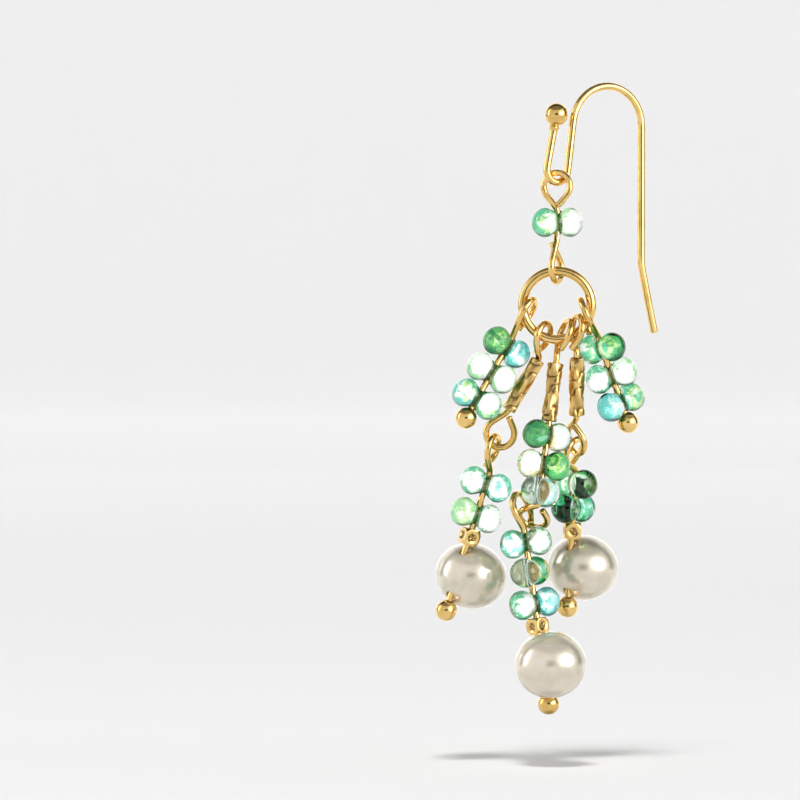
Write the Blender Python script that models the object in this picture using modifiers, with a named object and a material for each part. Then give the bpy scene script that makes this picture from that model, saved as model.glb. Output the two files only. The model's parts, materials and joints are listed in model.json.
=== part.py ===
"""Chandelier earring of gold-coloured wire, two-lobed glass beads, fluted tubes and pearls.

The origin is the inside top of the ear hook's arch. X runs to the right of the front view,
Y runs away from the viewer and Z runs up. Every length below is in millimetres until it is placed.
"""

import math
from collections import namedtuple

import bmesh
import bpy
from mathutils import Matrix, Vector

MM = 0.001

# Ear hook, drawn in its own upright plane
HOOK_WIRE = 0.70
HOOK_TURN = 30.0
ARCH_RADIUS = 3.65
CATCH_RADIUS = 1.10
CATCH_REACH = 5.30
CATCH_DEPTH = 7.60
CATCH_BALL = 2.10
CATCH_BALL_REACH = 5.38
CATCH_BALL_DEPTH = 2.56
REAR_LEG = 12.0
REAR_BEND_RADIUS = 6.0
REAR_BEND = 13.0
REAR_TAIL = 5.6

# Wire of every pin and its eyes
PIN_WIRE = 0.60
EYE_RADIUS = 1.29
REST_GAP = 0.25
END_GAP = 0.07
TUCK_REACH = 0.40
TUCK_SHIFT = 0.65
BALL = 1.95
THROAT_GAP = 0.27

# Link between hook and ring, its necks as shares of the eye's radius
LINK_NECK = 1.55
LINK_LOW_NECK = 2.02
LINK_TURN = -20.0
LINK_TUCK = -1
LINK_LOW_TURN = 65.0
LINK_LOW_TUCK = -1
LINK_LOW_GAP = 0.52
LINK_BEAD_TURN = 22.0

# Split ring
RING_WIRE = 0.87
RING_OUTER = 7.10
RING_SLIT = 0.14
RING_SLIT_AT = -62.0

# Two-lobed glass bead
LOBE_DIAMETER = 2.70
LOBE_SPACING = 2.40
LOBE_END = 1.20
WAIST_DIAMETER = 1.90
BEAD_HOLE = 0.90
BEAD_GAP = 0.06

# Fluted tube, spacer and pearl
TUBE_LENGTH = 5.30
TUBE_DIAMETER = 1.50
TUBE_FLUTE = 0.11
TUBE_FLUTES = 6
TUBE_TWIST = 200.0
SPACER_WIDTH = 1.50
SPACER_CORNER = 0.42
PEARL_WIDTH = 6.55
PEARL_HEIGHT = 6.00
PIECE_HOLE = 0.84
PIECE_GAP = 0.08

# Mesh fineness
BEAD_SIDES = 14
LOBE_ANGLES = (0.0, 22.0, 45.0, 67.0, 90.0)
WAIST_SHARES = (0.66, 0.33, 0.0)
PEARL_SIDES = 16
PEARL_ROWS = 10
BALL_SIDES = 12
DRILL_SIDES = 8
TUBE_ROWS = 8
EYE_STEPS = 11
RING_STEPS = 30
CATCH_STEPS = 12
ARCH_STEPS = 18
REAR_STEPS = 3
SEAT_STEPS = 20
JOIN_DISTANCE = 0.0005
SHARP_ANGLE = 50.0

# A lean is the angle, in degrees in the front view, by which a pin going down tips to the right, and
# a slant is the angle by which it tips away from the viewer. A turn of 0 shows an eye or a bead
# broadside, and a positive turn brings its left side forward. Necks, lifts and leads are shares of
# the eye's radius. A tuck of 1 or -1 leads an eye's cut end past one side of its throat or the other,
# and a tuck of 0 ends it beside the throat.
RingEye = namedtuple("RingEye", "at lean slant turn lift neck tuck")
LowEye = namedtuple("LowEye", "lean slant turn neck tuck")
DropEye = namedtuple("DropEye", "seat lean slant turn lift neck tuck")
Eye = namedtuple("Eye", "throat axis side neck tuck")

# The eye of each strand on the ring, at an angle counted from the right of the ring
RING_EYES = {
    "left_outer": RingEye(at=-161.0, lean=-31.0, slant=-6.0, turn=72.0, lift=0.61, neck=1.95, tuck=0),
    "left_inner": RingEye(at=-112.5, lean=-12.0, slant=0.0, turn=60.0, lift=0.22, neck=1.47, tuck=1),
    "centre": RingEye(at=-80.5, lean=-20.5, slant=-3.0, turn=-74.0, lift=0.65, neck=1.60, tuck=0),
    "right_inner": RingEye(at=-53.0, lean=-3.0, slant=3.0, turn=-68.0, lift=0.41, neck=1.51, tuck=-1),
    "right_outer": RingEye(at=-21.2, lean=25.5, slant=16.0, turn=86.0, lift=0.68, neck=1.92, tuck=1),
}

# Lean and slant of the straight pin under each of those eyes
UPPER_PINS = {
    "left_outer": (-30.0, -12.0),
    "left_inner": (-30.5, 3.0),
    "centre": (-7.0, -7.0),
    "right_inner": (0.0, 5.0),
    "right_outer": (19.4, 10.0),
}

# Lean and slant of the pin that hangs below each inner strand's tube
LOWER_PINS = {
    "left_inner": (-17.4, 1.0),
    "centre": (8.0, -2.0),
    "right_inner": (-3.4, 2.0),
}

# The eye below each tube
LOW_EYES = {
    "left_inner": LowEye(lean=-18.0, slant=1.0, turn=0.0, neck=1.55, tuck=1),
    "centre": LowEye(lean=-20.0, slant=48.0, turn=0.0, neck=1.55, tuck=0),
    "right_inner": LowEye(lean=0.0, slant=15.0, turn=-50.0, neck=1.55, tuck=1),
}

# The eye that hangs in it, at a seat that is a share of the upper eye's length from its throat
DROP_EYES = {
    "left_inner": DropEye(seat=0.5, lean=-9.0, slant=2.0, turn=66.0, lift=0.10, neck=1.55, tuck=1),
    "centre": DropEye(seat=0.26, lean=9.0, slant=-14.0, turn=60.0, lift=0.6, neck=1.55, tuck=-1),
    "right_inner": DropEye(seat=0.5, lean=3.0, slant=34.0, turn=46.0, lift=0.40, neck=1.55, tuck=1),
}

# Turn of each bead on its pin, from the top down
UPPER_BEADS = {
    "left_outer": (24.0, 0.0, 0.0),
    "left_inner": (),
    "centre": (32.0, 0.0, 66.0),
    "right_inner": (),
    "right_outer": (-42.0, -8.0, 32.0),
}
LOWER_BEADS = {
    "left_inner": (0.0, 12.0),
    "centre": (0.0, 66.0, 22.0),
    "right_inner": (-50.0, 52.0),
}

# Slack between neighbouring beads of the lower pins, as a share of a lobe's diameter
LOWER_SLACK = {"left_inner": 0.07, "centre": 0.10, "right_inner": 0.0}

# Free wire between an inner strand's eye and its tube
TUBE_LEADS = {"left_inner": 0.16, "centre": 0.58, "right_inner": 0.42}

# Turn of each spacer on its pin
SPACER_TURNS = {"left_inner": 24.0, "centre": 44.0, "right_inner": 8.0}

# Offset of each pearl's middle from its drill hole, to the right and away, as shares of its width
PEARL_OFFSETS = {"left_inner": (0.19, 0.27), "centre": (0.10, -0.30), "right_inner": (0.19, 0.28)}

GOLD = (0.86, 0.58, 0.22, 1.0)
GLASS_GREEN = (0.55, 0.85, 0.68, 1.0)
PEARL_CREAM = (0.90, 0.87, 0.80, 1.0)


def clear_scene():
    """Remove every object that the scene starts with."""
    for obj in list(bpy.data.objects):
        bpy.data.objects.remove(obj, do_unlink=True)


def new_collection(name):
    collection = bpy.data.collections.new(name)
    bpy.context.scene.collection.children.link(collection)
    return collection


def new_material(name, colour, metallic, roughness):
    material = bpy.data.materials.new(name)
    material.use_nodes = True
    shader = material.node_tree.nodes["Principled BSDF"]
    shader.inputs["Base Color"].default_value = colour
    shader.inputs["Metallic"].default_value = metallic
    shader.inputs["Roughness"].default_value = roughness
    return material


def gold_material(name):
    return new_material(name + "_gold", GOLD, 1.0, 0.18)


def glass_material(name):
    return new_material(name + "_glass", GLASS_GREEN, 0.0, 0.05)


def pearl_material(name):
    return new_material(name + "_pearl", PEARL_CREAM, 0.0, 0.22)


def down_direction(lean, slant):
    """Unit vector of a pin going down with the given lean and slant."""
    lean = math.radians(lean)
    slant = math.radians(slant)
    across = math.cos(slant)
    return Vector((math.sin(lean) * across, math.sin(slant), -math.cos(lean) * across))


def side_direction(down, turn):
    """Unit vector square to a pin, turned about it from the right of the view to the back."""
    right = Vector((-down.z, 0.0, down.x)).normalized()
    back = right.cross(down)
    turn = math.radians(turn)
    return right * math.cos(turn) + back * math.sin(turn)


def arc(centre, radius, start, end, steps):
    """Points of an arc in a plane, with its angles in degrees."""
    points = []
    for i in range(steps + 1):
        angle = math.radians(start + (end - start) * i / steps)
        points.append((centre[0] + radius * math.cos(angle), centre[1] + radius * math.sin(angle)))
    return points


def curve_object(name, points, diameter, sides_step, collection):
    """A wire of round section through the points, closed by caps at both ends."""
    data = bpy.data.curves.new(name, "CURVE")
    data.dimensions = "3D"
    data.bevel_depth = diameter / 2 * MM
    data.bevel_resolution = sides_step
    data.use_fill_caps = True
    spline = data.splines.new("POLY")
    spline.points.add(len(points) - 1)
    for point, place in zip(spline.points, points):
        point.co = (place[0] * MM, place[1] * MM, place[2] * MM, 1.0)
    obj = bpy.data.objects.new(name, data)
    collection.objects.link(obj)
    return obj


def mesh_object(name, mesh, matrix, collection):
    obj = bpy.data.objects.new(name, mesh)
    obj.matrix_world = matrix
    collection.objects.link(obj)
    return obj


def evaluated_mesh(obj):
    """The mesh that an object's modifiers make."""
    bpy.context.view_layer.update()
    graph = bpy.context.evaluated_depsgraph_get()
    return bpy.data.meshes.new_from_object(obj.evaluated_get(graph))


def weld(mesh):
    """Join the loose caps of a wire, or the poles of a turned shape, to their rims."""
    bm = bmesh.new()
    bm.from_mesh(mesh)
    bmesh.ops.remove_doubles(bm, verts=bm.verts, dist=JOIN_DISTANCE * MM)
    bmesh.ops.recalc_face_normals(bm, faces=bm.faces)
    bm.to_mesh(mesh)
    bm.free()


def shade_round(mesh):
    mesh.shade_smooth()
    mesh.set_sharp_from_angle(angle=math.radians(SHARP_ANGLE))


def combined(body, tool, operation):
    """Mesh of a body with a tool cut from it or joined to it. Both objects are used up."""
    tool.hide_render = True
    tool.display_type = "WIRE"
    modifier = body.modifiers.new(operation.title(), "BOOLEAN")
    modifier.operation = operation
    modifier.solver = "EXACT"
    modifier.object = tool
    mesh = evaluated_mesh(body)
    bpy.data.objects.remove(body)
    bpy.data.objects.remove(tool)
    return mesh


def mesh_from_bmesh(name, bm):
    mesh = bpy.data.meshes.new(name)
    bmesh.ops.recalc_face_normals(bm, faces=bm.faces)
    bm.to_mesh(mesh)
    bm.free()
    return mesh


def ball_mesh(name, diameter, sides):
    bm = bmesh.new()
    bmesh.ops.create_uvsphere(bm, u_segments=sides, v_segments=sides // 2 + 1,
                              radius=diameter / 2 * MM)
    return mesh_from_bmesh(name, bm)


def drilled(name, mesh, axis, diameter, length, cutters):
    """The mesh with a round hole cut through its middle along an axis."""
    bm = bmesh.new()
    bmesh.ops.create_cone(bm, cap_ends=True, segments=DRILL_SIDES, radius1=diameter / 2 * MM,
                          radius2=diameter / 2 * MM, depth=length * MM)
    cutter_mesh = mesh_from_bmesh(name + "_drill", bm)
    matrix = Vector((0.0, 0.0, 1.0)).rotation_difference(axis).to_matrix().to_4x4()
    cutter = mesh_object(name + "_drill", cutter_mesh, matrix, cutters)
    body = mesh_object(name + "_blank", mesh, Matrix.Identity(4), cutters)
    return combined(body, cutter, "DIFFERENCE")


def cross_tangent(centre_a, radius_a, centre_b, radius_b):
    """Angle, in degrees, at which the line that crosses between two circles leaves the first.

    The line runs down with the first circle on its right and the second on its left.
    """
    dx = centre_b[0] - centre_a[0]
    dz = centre_b[1] - centre_a[1]
    distance = math.hypot(dx, dz)
    spread = math.acos((radius_a + radius_b) / distance)
    return math.degrees(math.atan2(dz, dx) - spread)


def point_tangent(centre, radius, point):
    """Angle, in degrees, at which a line from a point above meets the left of a circle."""
    dx = point[0] - centre[0]
    dz = point[1] - centre[1]
    spread = math.acos(radius / math.hypot(dx, dz))
    return math.degrees(math.atan2(dz, dx) + spread)


def hook_outline():
    """Centreline of the ear hook in its own plane, from its ball to its tail."""
    top = HOOK_WIRE / 2
    arch_centre = (0.0, top - ARCH_RADIUS)
    catch_centre = (-CATCH_REACH, top - CATCH_DEPTH)
    ball = (-CATCH_BALL_REACH, top - CATCH_BALL_DEPTH)
    meet = point_tangent(catch_centre, CATCH_RADIUS, ball)
    leave = cross_tangent(arch_centre, ARCH_RADIUS, catch_centre, CATCH_RADIUS) % 360.0
    points = [ball]
    points += arc(catch_centre, CATCH_RADIUS, meet, leave + 180.0, CATCH_STEPS)
    points += arc(arch_centre, ARCH_RADIUS, leave, 0.0, ARCH_STEPS)
    bend_centre = (ARCH_RADIUS + REAR_BEND_RADIUS, arch_centre[1] - REAR_LEG)
    points += arc(bend_centre, REAR_BEND_RADIUS, 180.0, 180.0 + REAR_BEND, REAR_STEPS)
    tilt = math.radians(REAR_BEND)
    end = points[-1]
    points.append((end[0] + REAR_TAIL * math.sin(tilt), end[1] - REAR_TAIL * math.cos(tilt)))
    return points


def hook_place(point):
    """Place of a point of the hook's own plane."""
    turn = math.radians(HOOK_TURN)
    return Vector((point[0] * math.cos(turn), point[0] * math.sin(turn), point[1]))


def hook_catch():
    """Lowest point of the catch's centreline, where the link hangs."""
    return hook_place((-CATCH_REACH, HOOK_WIRE / 2 - CATCH_DEPTH - CATCH_RADIUS))


def rest_distance(other_wire):
    """Distance between the middles of a pin's wire and the wire that it hangs on."""
    return (PIN_WIRE + other_wire) / 2 + REST_GAP


def eye_path(eye):
    """Centreline of an eye, from its throat round its circle to its cut end beside the throat."""
    neck = eye.neck * EYE_RADIUS
    half = math.asin(EYE_RADIUS / neck)
    centre = eye.throat + eye.axis * neck
    points = [eye.throat]
    for i in range(EYE_STEPS + 1):
        angle = math.pi / 2 - half + (math.pi + 2 * half) * i / EYE_STEPS
        outward = eye.axis * math.cos(angle) + eye.side * math.sin(angle)
        points.append(centre - outward * EYE_RADIUS)
    cut = (PIN_WIRE / 2 * (1 + math.cos(2 * half)) + PIN_WIRE / 2 + END_GAP) / math.sin(2 * half)
    leg = (points[-1] - eye.throat).normalized()
    points.append(eye.throat + leg * (TUCK_REACH if eye.tuck else cut))
    return tucked(points, eye.axis.cross(eye.side) * eye.tuck)


def tucked(points, aside):
    """The centreline led aside from halfway on, ever faster towards its end."""
    lengths = [0.0]
    for a, b in zip(points, points[1:]):
        lengths.append(lengths[-1] + (b - a).length)
    moved = []
    for point, length in zip(points, lengths):
        late = max(0.0, 2.0 * length / lengths[-1] - 1.0)
        moved.append(point + aside * (TUCK_SHIFT * late ** 2))
    return moved


def eye_length(neck):
    """Distance from an eye's throat to the centreline of its far end."""
    return (neck + 1.0) * EYE_RADIUS


def share_along(points, share):
    """Point at a share of the length of a path."""
    lengths = [(b - a).length for a, b in zip(points, points[1:])]
    left = share * sum(lengths)
    for a, b, length in zip(points, points[1:], lengths):
        if left <= length:
            return a.lerp(b, left / length)
        left -= length
    return points[-1]


def bead_radius(x):
    """Radius of a bead's outline at a distance from its waist along its two lobes."""
    waist = WAIST_DIAMETER / 2
    lobe = LOBE_DIAMETER / 2
    middle = LOBE_SPACING / 2
    x = abs(x)
    if x <= middle:
        return waist + (lobe - waist) * (1 - math.cos(math.pi * x / middle)) / 2
    return lobe * math.sqrt(max(0.0, 1 - ((x - middle) / LOBE_END) ** 2))


def bead_pitch(turn_a, turn_b):
    """Distance along a pin between two beads, which nest closer when one is turned from the other."""
    between = abs(turn_a - turn_b) % 180.0
    between = math.radians(min(between, 180.0 - between))
    apart = LOBE_SPACING * math.sin(between / 2)
    return math.sqrt((LOBE_DIAMETER + BEAD_GAP) ** 2 - apart ** 2)


def flat_seat(half_width):
    """Distance from a bead's middle to a flat end of the given half width that rests on its lobes."""
    return bead_radius(min(half_width, LOBE_SPACING / 2)) + PIECE_GAP


def ball_seat(radius):
    """Distance from a bead's middle to the middle of a ball between its lobes."""
    steps = [radius * i / SEAT_STEPS for i in range(SEAT_STEPS + 1)]
    return max(bead_radius(x) + math.sqrt(radius ** 2 - x ** 2) for x in steps) + PIECE_GAP


def pearl_seat(offset, reach, roundness):
    """Distance from a pearl's middle, along its drill hole, to a piece that rests on its end.

    The piece reaches out from the hole by its half width, and its own end is round by its radius.
    """
    beside = math.hypot(*offset)
    heights = []
    for i in range(SEAT_STEPS + 1):
        x = reach * i / SEAT_STEPS
        share = min(1.0, abs(beside - x) / (PEARL_WIDTH / 2))
        dome = math.sqrt(max(0.0, roundness ** 2 - x ** 2))
        heights.append(PEARL_HEIGHT / 2 * math.sqrt(1 - share ** 2) + dome)
    return max(heights) + PIECE_GAP


def link_eyes():
    """The link's two eyes: the upper one on the hook's catch, the lower one above the ring."""
    down = Vector((0.0, 0.0, -1.0))
    top = hook_catch() - down * rest_distance(HOOK_WIRE)
    upper_throat = top + down * eye_length(LINK_NECK)
    upper = Eye(upper_throat, -down, side_direction(down, LINK_TURN), LINK_NECK, LINK_TUCK)
    lower_throat = link_bead_place() + down * (WAIST_DIAMETER / 2 + LINK_LOW_GAP)
    lower = Eye(lower_throat, down, side_direction(down, LINK_LOW_TURN), LINK_LOW_NECK, LINK_LOW_TUCK)
    return upper, lower


def link_bead_place():
    """Middle of the link's bead."""
    drop = eye_length(LINK_NECK) - rest_distance(HOOK_WIRE) + THROAT_GAP + WAIST_DIAMETER / 2
    return hook_catch() - Vector((0.0, 0.0, drop))


def ring_radius():
    return (RING_OUTER - RING_WIRE) / 2


def ring_centre():
    """Middle of the ring, which hangs in the link's lower eye."""
    lower = link_eyes()[1]
    drop = eye_length(lower.neck) - rest_distance(RING_WIRE) + ring_radius()
    return lower.throat - Vector((0.0, 0.0, drop))


def ring_place(angle):
    """Point of the ring's centreline."""
    angle = math.radians(angle)
    return ring_centre() + Vector((math.cos(angle), 0.0, math.sin(angle))) * ring_radius()


def ring_eye(row):
    """Eye of a strand that hangs on the ring."""
    down = down_direction(row.lean, row.slant)
    hang = rest_distance(RING_WIRE) + row.lift * EYE_RADIUS
    throat = ring_place(row.at) + down * (eye_length(row.neck) - hang)
    return Eye(throat, -down, side_direction(down, row.turn), row.neck, row.tuck)


def low_eye(row, throat):
    """Eye at the lower end of an inner strand's first pin."""
    down = down_direction(row.lean, row.slant)
    return Eye(throat, down, side_direction(down, row.turn), row.neck, row.tuck)


def drop_eye(row, upper):
    """Eye of a lower pin, which hangs in the eye above it."""
    down = down_direction(row.lean, row.slant)
    hang = rest_distance(PIN_WIRE) + row.lift * EYE_RADIUS
    throat = share_along(eye_path(upper), row.seat) + down * (eye_length(row.neck) - hang)
    return Eye(throat, -down, side_direction(down, row.turn), row.neck, row.tuck)


def build_wire(name, points, diameter, sides_step, parts):
    """A bare wire as a node of its own."""
    obj = curve_object(name, points, diameter, sides_step, parts)
    obj.data.materials.append(gold_material(name))
    return obj


def build_balled_wire(name, points, diameter, sides_step, ball_diameter, parts, cutters):
    """A wire with a ball soldered on at its last point, as one solid."""
    wire = curve_object(name + "_wire", points, diameter, sides_step, cutters)
    wire_mesh = evaluated_mesh(wire)
    weld(wire_mesh)
    wire_body = mesh_object(name + "_body", wire_mesh, wire.matrix_world, cutters)
    bpy.data.objects.remove(wire)
    place = Matrix.Translation(Vector(points[-1]) * MM)
    round_mesh = ball_mesh(name + "_ball", ball_diameter, BALL_SIDES)
    ball = mesh_object(name + "_ball", round_mesh, place, cutters)
    mesh = combined(wire_body, ball, "UNION")
    shade_round(mesh)
    mesh.materials.clear()
    mesh.materials.append(gold_material(name))
    return mesh_object(name, mesh, Matrix.Identity(4), parts)


def turned_bead_mesh(cutters):
    """Two-lobed bead about Z, with its hole through the waist along X."""
    outline = bmesh.new()
    half = LOBE_SPACING / 2
    stations = [half + LOBE_END * math.cos(math.radians(a)) for a in LOBE_ANGLES]
    stations += [half * share for share in WAIST_SHARES]
    stations += [-x for x in reversed(stations[:-1])]
    row = [outline.verts.new((bead_radius(x) * MM, 0.0, x * MM)) for x in stations]
    for a, b in zip(row, row[1:]):
        outline.edges.new((a, b))
    profile = bpy.data.meshes.new("bead_outline")
    outline.to_mesh(profile)
    outline.free()
    blank = mesh_object("bead_outline", profile, Matrix.Identity(4), cutters)
    screw = blank.modifiers.new("Turn", "SCREW")
    screw.axis = "Z"
    screw.angle = 2 * math.pi
    screw.steps = BEAD_SIDES
    screw.render_steps = BEAD_SIDES
    screw.use_merge_vertices = True
    screw.merge_threshold = JOIN_DISTANCE * MM
    mesh = evaluated_mesh(blank)
    bpy.data.objects.remove(blank)
    weld(mesh)
    mesh = drilled("bead", mesh, Vector((1.0, 0.0, 0.0)), BEAD_HOLE, 2 * LOBE_DIAMETER, cutters)
    shade_round(mesh)
    return mesh


def pearl_mesh(name, offset, cutters):
    """Slightly flattened pearl, drilled along Z beside its middle by the offset, in millimetres."""
    bm = bmesh.new()
    bmesh.ops.create_uvsphere(bm, u_segments=PEARL_SIDES, v_segments=PEARL_ROWS,
                              radius=PEARL_WIDTH / 2 * MM)
    bmesh.ops.scale(bm, vec=(1.0, 1.0, PEARL_HEIGHT / PEARL_WIDTH), verts=bm.verts)
    bmesh.ops.translate(bm, vec=Vector((offset[0], offset[1], 0.0)) * MM, verts=bm.verts)
    blank = mesh_from_bmesh(name + "_blank", bm)
    mesh = drilled(name, blank, Vector((0.0, 0.0, 1.0)), PIECE_HOLE, 2 * PEARL_HEIGHT, cutters)
    shade_round(mesh)
    return mesh


def tube_mesh(cutters):
    """Fluted tube whose flutes run round it, drilled along Z."""
    bm = bmesh.new()
    verts = bmesh.ops.create_circle(bm, cap_ends=True, segments=2 * TUBE_FLUTES,
                                    radius=TUBE_DIAMETER / 2 * MM)["verts"]
    for i, vert in enumerate(verts):
        if i % 2:
            vert.co *= 1 - 2 * TUBE_FLUTE / TUBE_DIAMETER
    bmesh.ops.translate(bm, vec=(0.0, 0.0, -TUBE_LENGTH / 2 * MM), verts=verts)
    turn = Matrix.Rotation(math.radians(TUBE_TWIST) / TUBE_ROWS, 3, "Z")
    faces = bm.faces[:]
    for i in range(TUBE_ROWS):
        made = bmesh.ops.extrude_face_region(bm, geom=faces, use_keep_orig=i == 0)["geom"]
        if i:
            bmesh.ops.delete(bm, geom=faces, context="FACES_ONLY")
        verts = [g for g in made if isinstance(g, bmesh.types.BMVert)]
        faces = [g for g in made if isinstance(g, bmesh.types.BMFace)]
        bmesh.ops.translate(bm, vec=(0.0, 0.0, TUBE_LENGTH / TUBE_ROWS * MM), verts=verts)
        bmesh.ops.rotate(bm, cent=(0.0, 0.0, 0.0), matrix=turn, verts=verts)
    blank = mesh_from_bmesh("tube_blank", bm)
    return drilled("tube", blank, Vector((0.0, 0.0, 1.0)), PIECE_HOLE, 2 * TUBE_LENGTH, cutters)


def spacer_mesh(cutters):
    """Cube with its corners cut off, drilled along Z."""
    bm = bmesh.new()
    bmesh.ops.create_cube(bm, size=SPACER_WIDTH * MM)
    bmesh.ops.bevel(bm, geom=bm.verts[:], offset=SPACER_CORNER * MM, offset_type="OFFSET",
                    segments=1, affect="VERTICES")
    blank = mesh_from_bmesh("spacer_blank", bm)
    return drilled("spacer", blank, Vector((0.0, 0.0, 1.0)), PIECE_HOLE, 2 * SPACER_WIDTH, cutters)


def frame_matrix(x_axis, y_axis, z_axis, place):
    """Placement with the given axes at a place in millimetres."""
    rotation = Matrix((x_axis, y_axis, z_axis)).transposed()
    return Matrix.Translation(place * MM) @ rotation.to_4x4()


def place_bead(name, mesh, middle, down, turn, parts):
    """A bead whose hole runs along the pin and whose lobes lie across it."""
    lobes = side_direction(down, turn)
    copy = mesh.copy()
    copy.materials.clear()
    copy.materials.append(glass_material(name))
    return mesh_object(name, copy, frame_matrix(down, lobes.cross(down), lobes, middle), parts)


def place_threaded(name, mesh, middle, down, turn, material, parts):
    """A tube, spacer or pearl whose hole runs along the pin."""
    side = side_direction(down, turn)
    back = side_direction(down, turn + 90.0)
    copy = mesh.copy()
    copy.materials.clear()
    copy.materials.append(material)
    return mesh_object(name, copy, frame_matrix(side, back, side.cross(back), middle), parts)


def string_beads(prefix, first, mesh, place, down, turns, slack, parts):
    """A run of beads down a pin. Returns the objects and the place of the last one."""
    made = []
    for i, turn in enumerate(turns):
        if i:
            place = place + down * (bead_pitch(turns[i - 1], turn) + slack * LOBE_DIAMETER)
        made.append(place_bead(f"{prefix}_bead_{first + i}", mesh, place, down, turn, parts))
    return made, place


def build_hook(parts, cutters):
    """Ear hook with the ball on its short end."""
    points = [hook_place(point) for point in reversed(hook_outline())]
    return build_balled_wire("ear_hook", points, HOOK_WIRE, 2, CATCH_BALL, parts, cutters)


def build_link(bead_mesh, parts):
    """Pin with an eye at each end and one bead between them."""
    upper, lower = link_eyes()
    points = list(reversed(eye_path(upper))) + eye_path(lower)
    pin = build_wire("link_pin", points, PIN_WIRE, 1, parts)
    down = Vector((0.0, 0.0, -1.0))
    bead = place_bead("link_bead", bead_mesh, link_bead_place(), down, LINK_BEAD_TURN, parts)
    return [pin, bead]


def build_ring(parts):
    """Ring of round wire with a narrow slit."""
    half_slit = math.degrees(RING_SLIT / 2 / ring_radius())
    start = RING_SLIT_AT + half_slit
    sweep = 360.0 - 2 * half_slit
    points = [ring_place(start + sweep * i / RING_STEPS) for i in range(RING_STEPS + 1)]
    return [build_wire("ring", points, RING_WIRE, 1, parts)]


def build_outer_strand(name, bead_mesh, parts, cutters):
    """Head pin on the ring with its beads and the ball that holds them."""
    eye = ring_eye(RING_EYES[name])
    down = down_direction(*UPPER_PINS[name])
    place = eye.throat + down * (THROAT_GAP + WAIST_DIAMETER / 2)
    made, last = string_beads(name, 1, bead_mesh, place, down, UPPER_BEADS[name], 0.0, parts)
    ball = last + down * ball_seat(BALL / 2)
    points = list(reversed(eye_path(eye))) + [ball]
    made.append(build_balled_wire(name + "_pin", points, PIN_WIRE, 1, BALL, parts, cutters))
    return made


def build_inner_strand(name, meshes, parts, cutters):
    """Tube pin on the ring, and a head pin linked below it with beads, a spacer and a pearl."""
    eye = ring_eye(RING_EYES[name])
    down = down_direction(*UPPER_PINS[name])
    tube_place = eye.throat + down * (TUBE_LEADS[name] * EYE_RADIUS + TUBE_LENGTH / 2)
    tube = name + "_tube"
    made = [place_threaded(tube, meshes["tube"], tube_place, down, 0.0, gold_material(tube), parts)]
    turns = UPPER_BEADS[name]
    if turns:
        place = tube_place + down * (TUBE_LENGTH / 2 + flat_seat(TUBE_DIAMETER / 2))
        beads, place = string_beads(name, 1, meshes["bead"], place, down, turns, 0.0, parts)
        made += beads
        throat = place + down * (WAIST_DIAMETER / 2 + THROAT_GAP)
    else:
        throat = tube_place + down * (TUBE_LENGTH / 2 + THROAT_GAP)
    low = low_eye(LOW_EYES[name], throat)
    points = list(reversed(eye_path(eye))) + eye_path(low)
    made.append(build_wire(name + "_bar_pin", points, PIN_WIRE, 1, parts))
    return made + build_drop(name, low, len(turns), meshes, parts, cutters)


def build_drop(name, low, beads_above, meshes, parts, cutters):
    """The lower half of an inner strand."""
    eye = drop_eye(DROP_EYES[name], low)
    down = down_direction(*LOWER_PINS[name])
    turns = LOWER_BEADS[name]
    place = eye.throat + down * (THROAT_GAP + WAIST_DIAMETER / 2)
    made, last = string_beads(name, beads_above + 1, meshes["bead"], place, down, turns,
                              LOWER_SLACK[name], parts)
    spacer = name + "_spacer"
    spacer_place = last + down * (flat_seat(SPACER_WIDTH / 2) + SPACER_WIDTH / 2)
    made.append(place_threaded(spacer, meshes["spacer"], spacer_place, down, SPACER_TURNS[name],
                               gold_material(spacer), parts))
    pearl = name + "_pearl"
    offset = [share * PEARL_WIDTH for share in PEARL_OFFSETS[name]]
    seat = SPACER_WIDTH / 2 + pearl_seat(offset, SPACER_WIDTH / 2, 0.0)
    pearl_place = spacer_place + down * seat
    made.append(place_threaded(pearl, pearl_mesh(pearl, offset, cutters), pearl_place, down, 0.0,
                               pearl_material(pearl), parts))
    ball = pearl_place + down * pearl_seat(offset, BALL / 2, BALL / 2)
    points = list(reversed(eye_path(eye))) + [ball]
    made.append(build_balled_wire(name + "_drop_pin", points, PIN_WIRE, 1, BALL, parts, cutters))
    return made


def add_axis(name, place, members, collection):
    """Empty on the axis that the members swing about."""
    empty = bpy.data.objects.new(name, None)
    empty.location = place * MM
    collection.objects.link(empty)
    bpy.context.view_layer.update()
    for member in members:
        member.parent = empty
        member.matrix_parent_inverse = empty.matrix_world.inverted()


def main():
    clear_scene()
    parts = new_collection("Chandelier Earring")
    cutters = new_collection("Cutters")
    meshes = {
        "bead": turned_bead_mesh(cutters),
        "tube": tube_mesh(cutters),
        "spacer": spacer_mesh(cutters),
    }
    build_hook(parts, cutters)
    link = build_link(meshes["bead"], parts)
    cluster = build_ring(parts)
    for name in ("left_outer", "right_outer"):
        cluster += build_outer_strand(name, meshes["bead"], parts, cutters)
    for name in ("left_inner", "centre", "right_inner"):
        cluster += build_inner_strand(name, meshes, parts, cutters)
    upper = link_eyes()[0]
    add_axis("link_axis", upper.throat + upper.axis * upper.neck * EYE_RADIUS, link, parts)
    add_axis("cluster_axis", ring_place(90.0), cluster, parts)


main()
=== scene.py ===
"""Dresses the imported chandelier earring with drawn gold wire, marbled glass, cut gold and nacre.

Lengths are in metres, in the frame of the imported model. X runs to the right of the front view,
Y runs away from the viewer and Z runs up, from the inside top of the ear hook's arch.
"""

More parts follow.
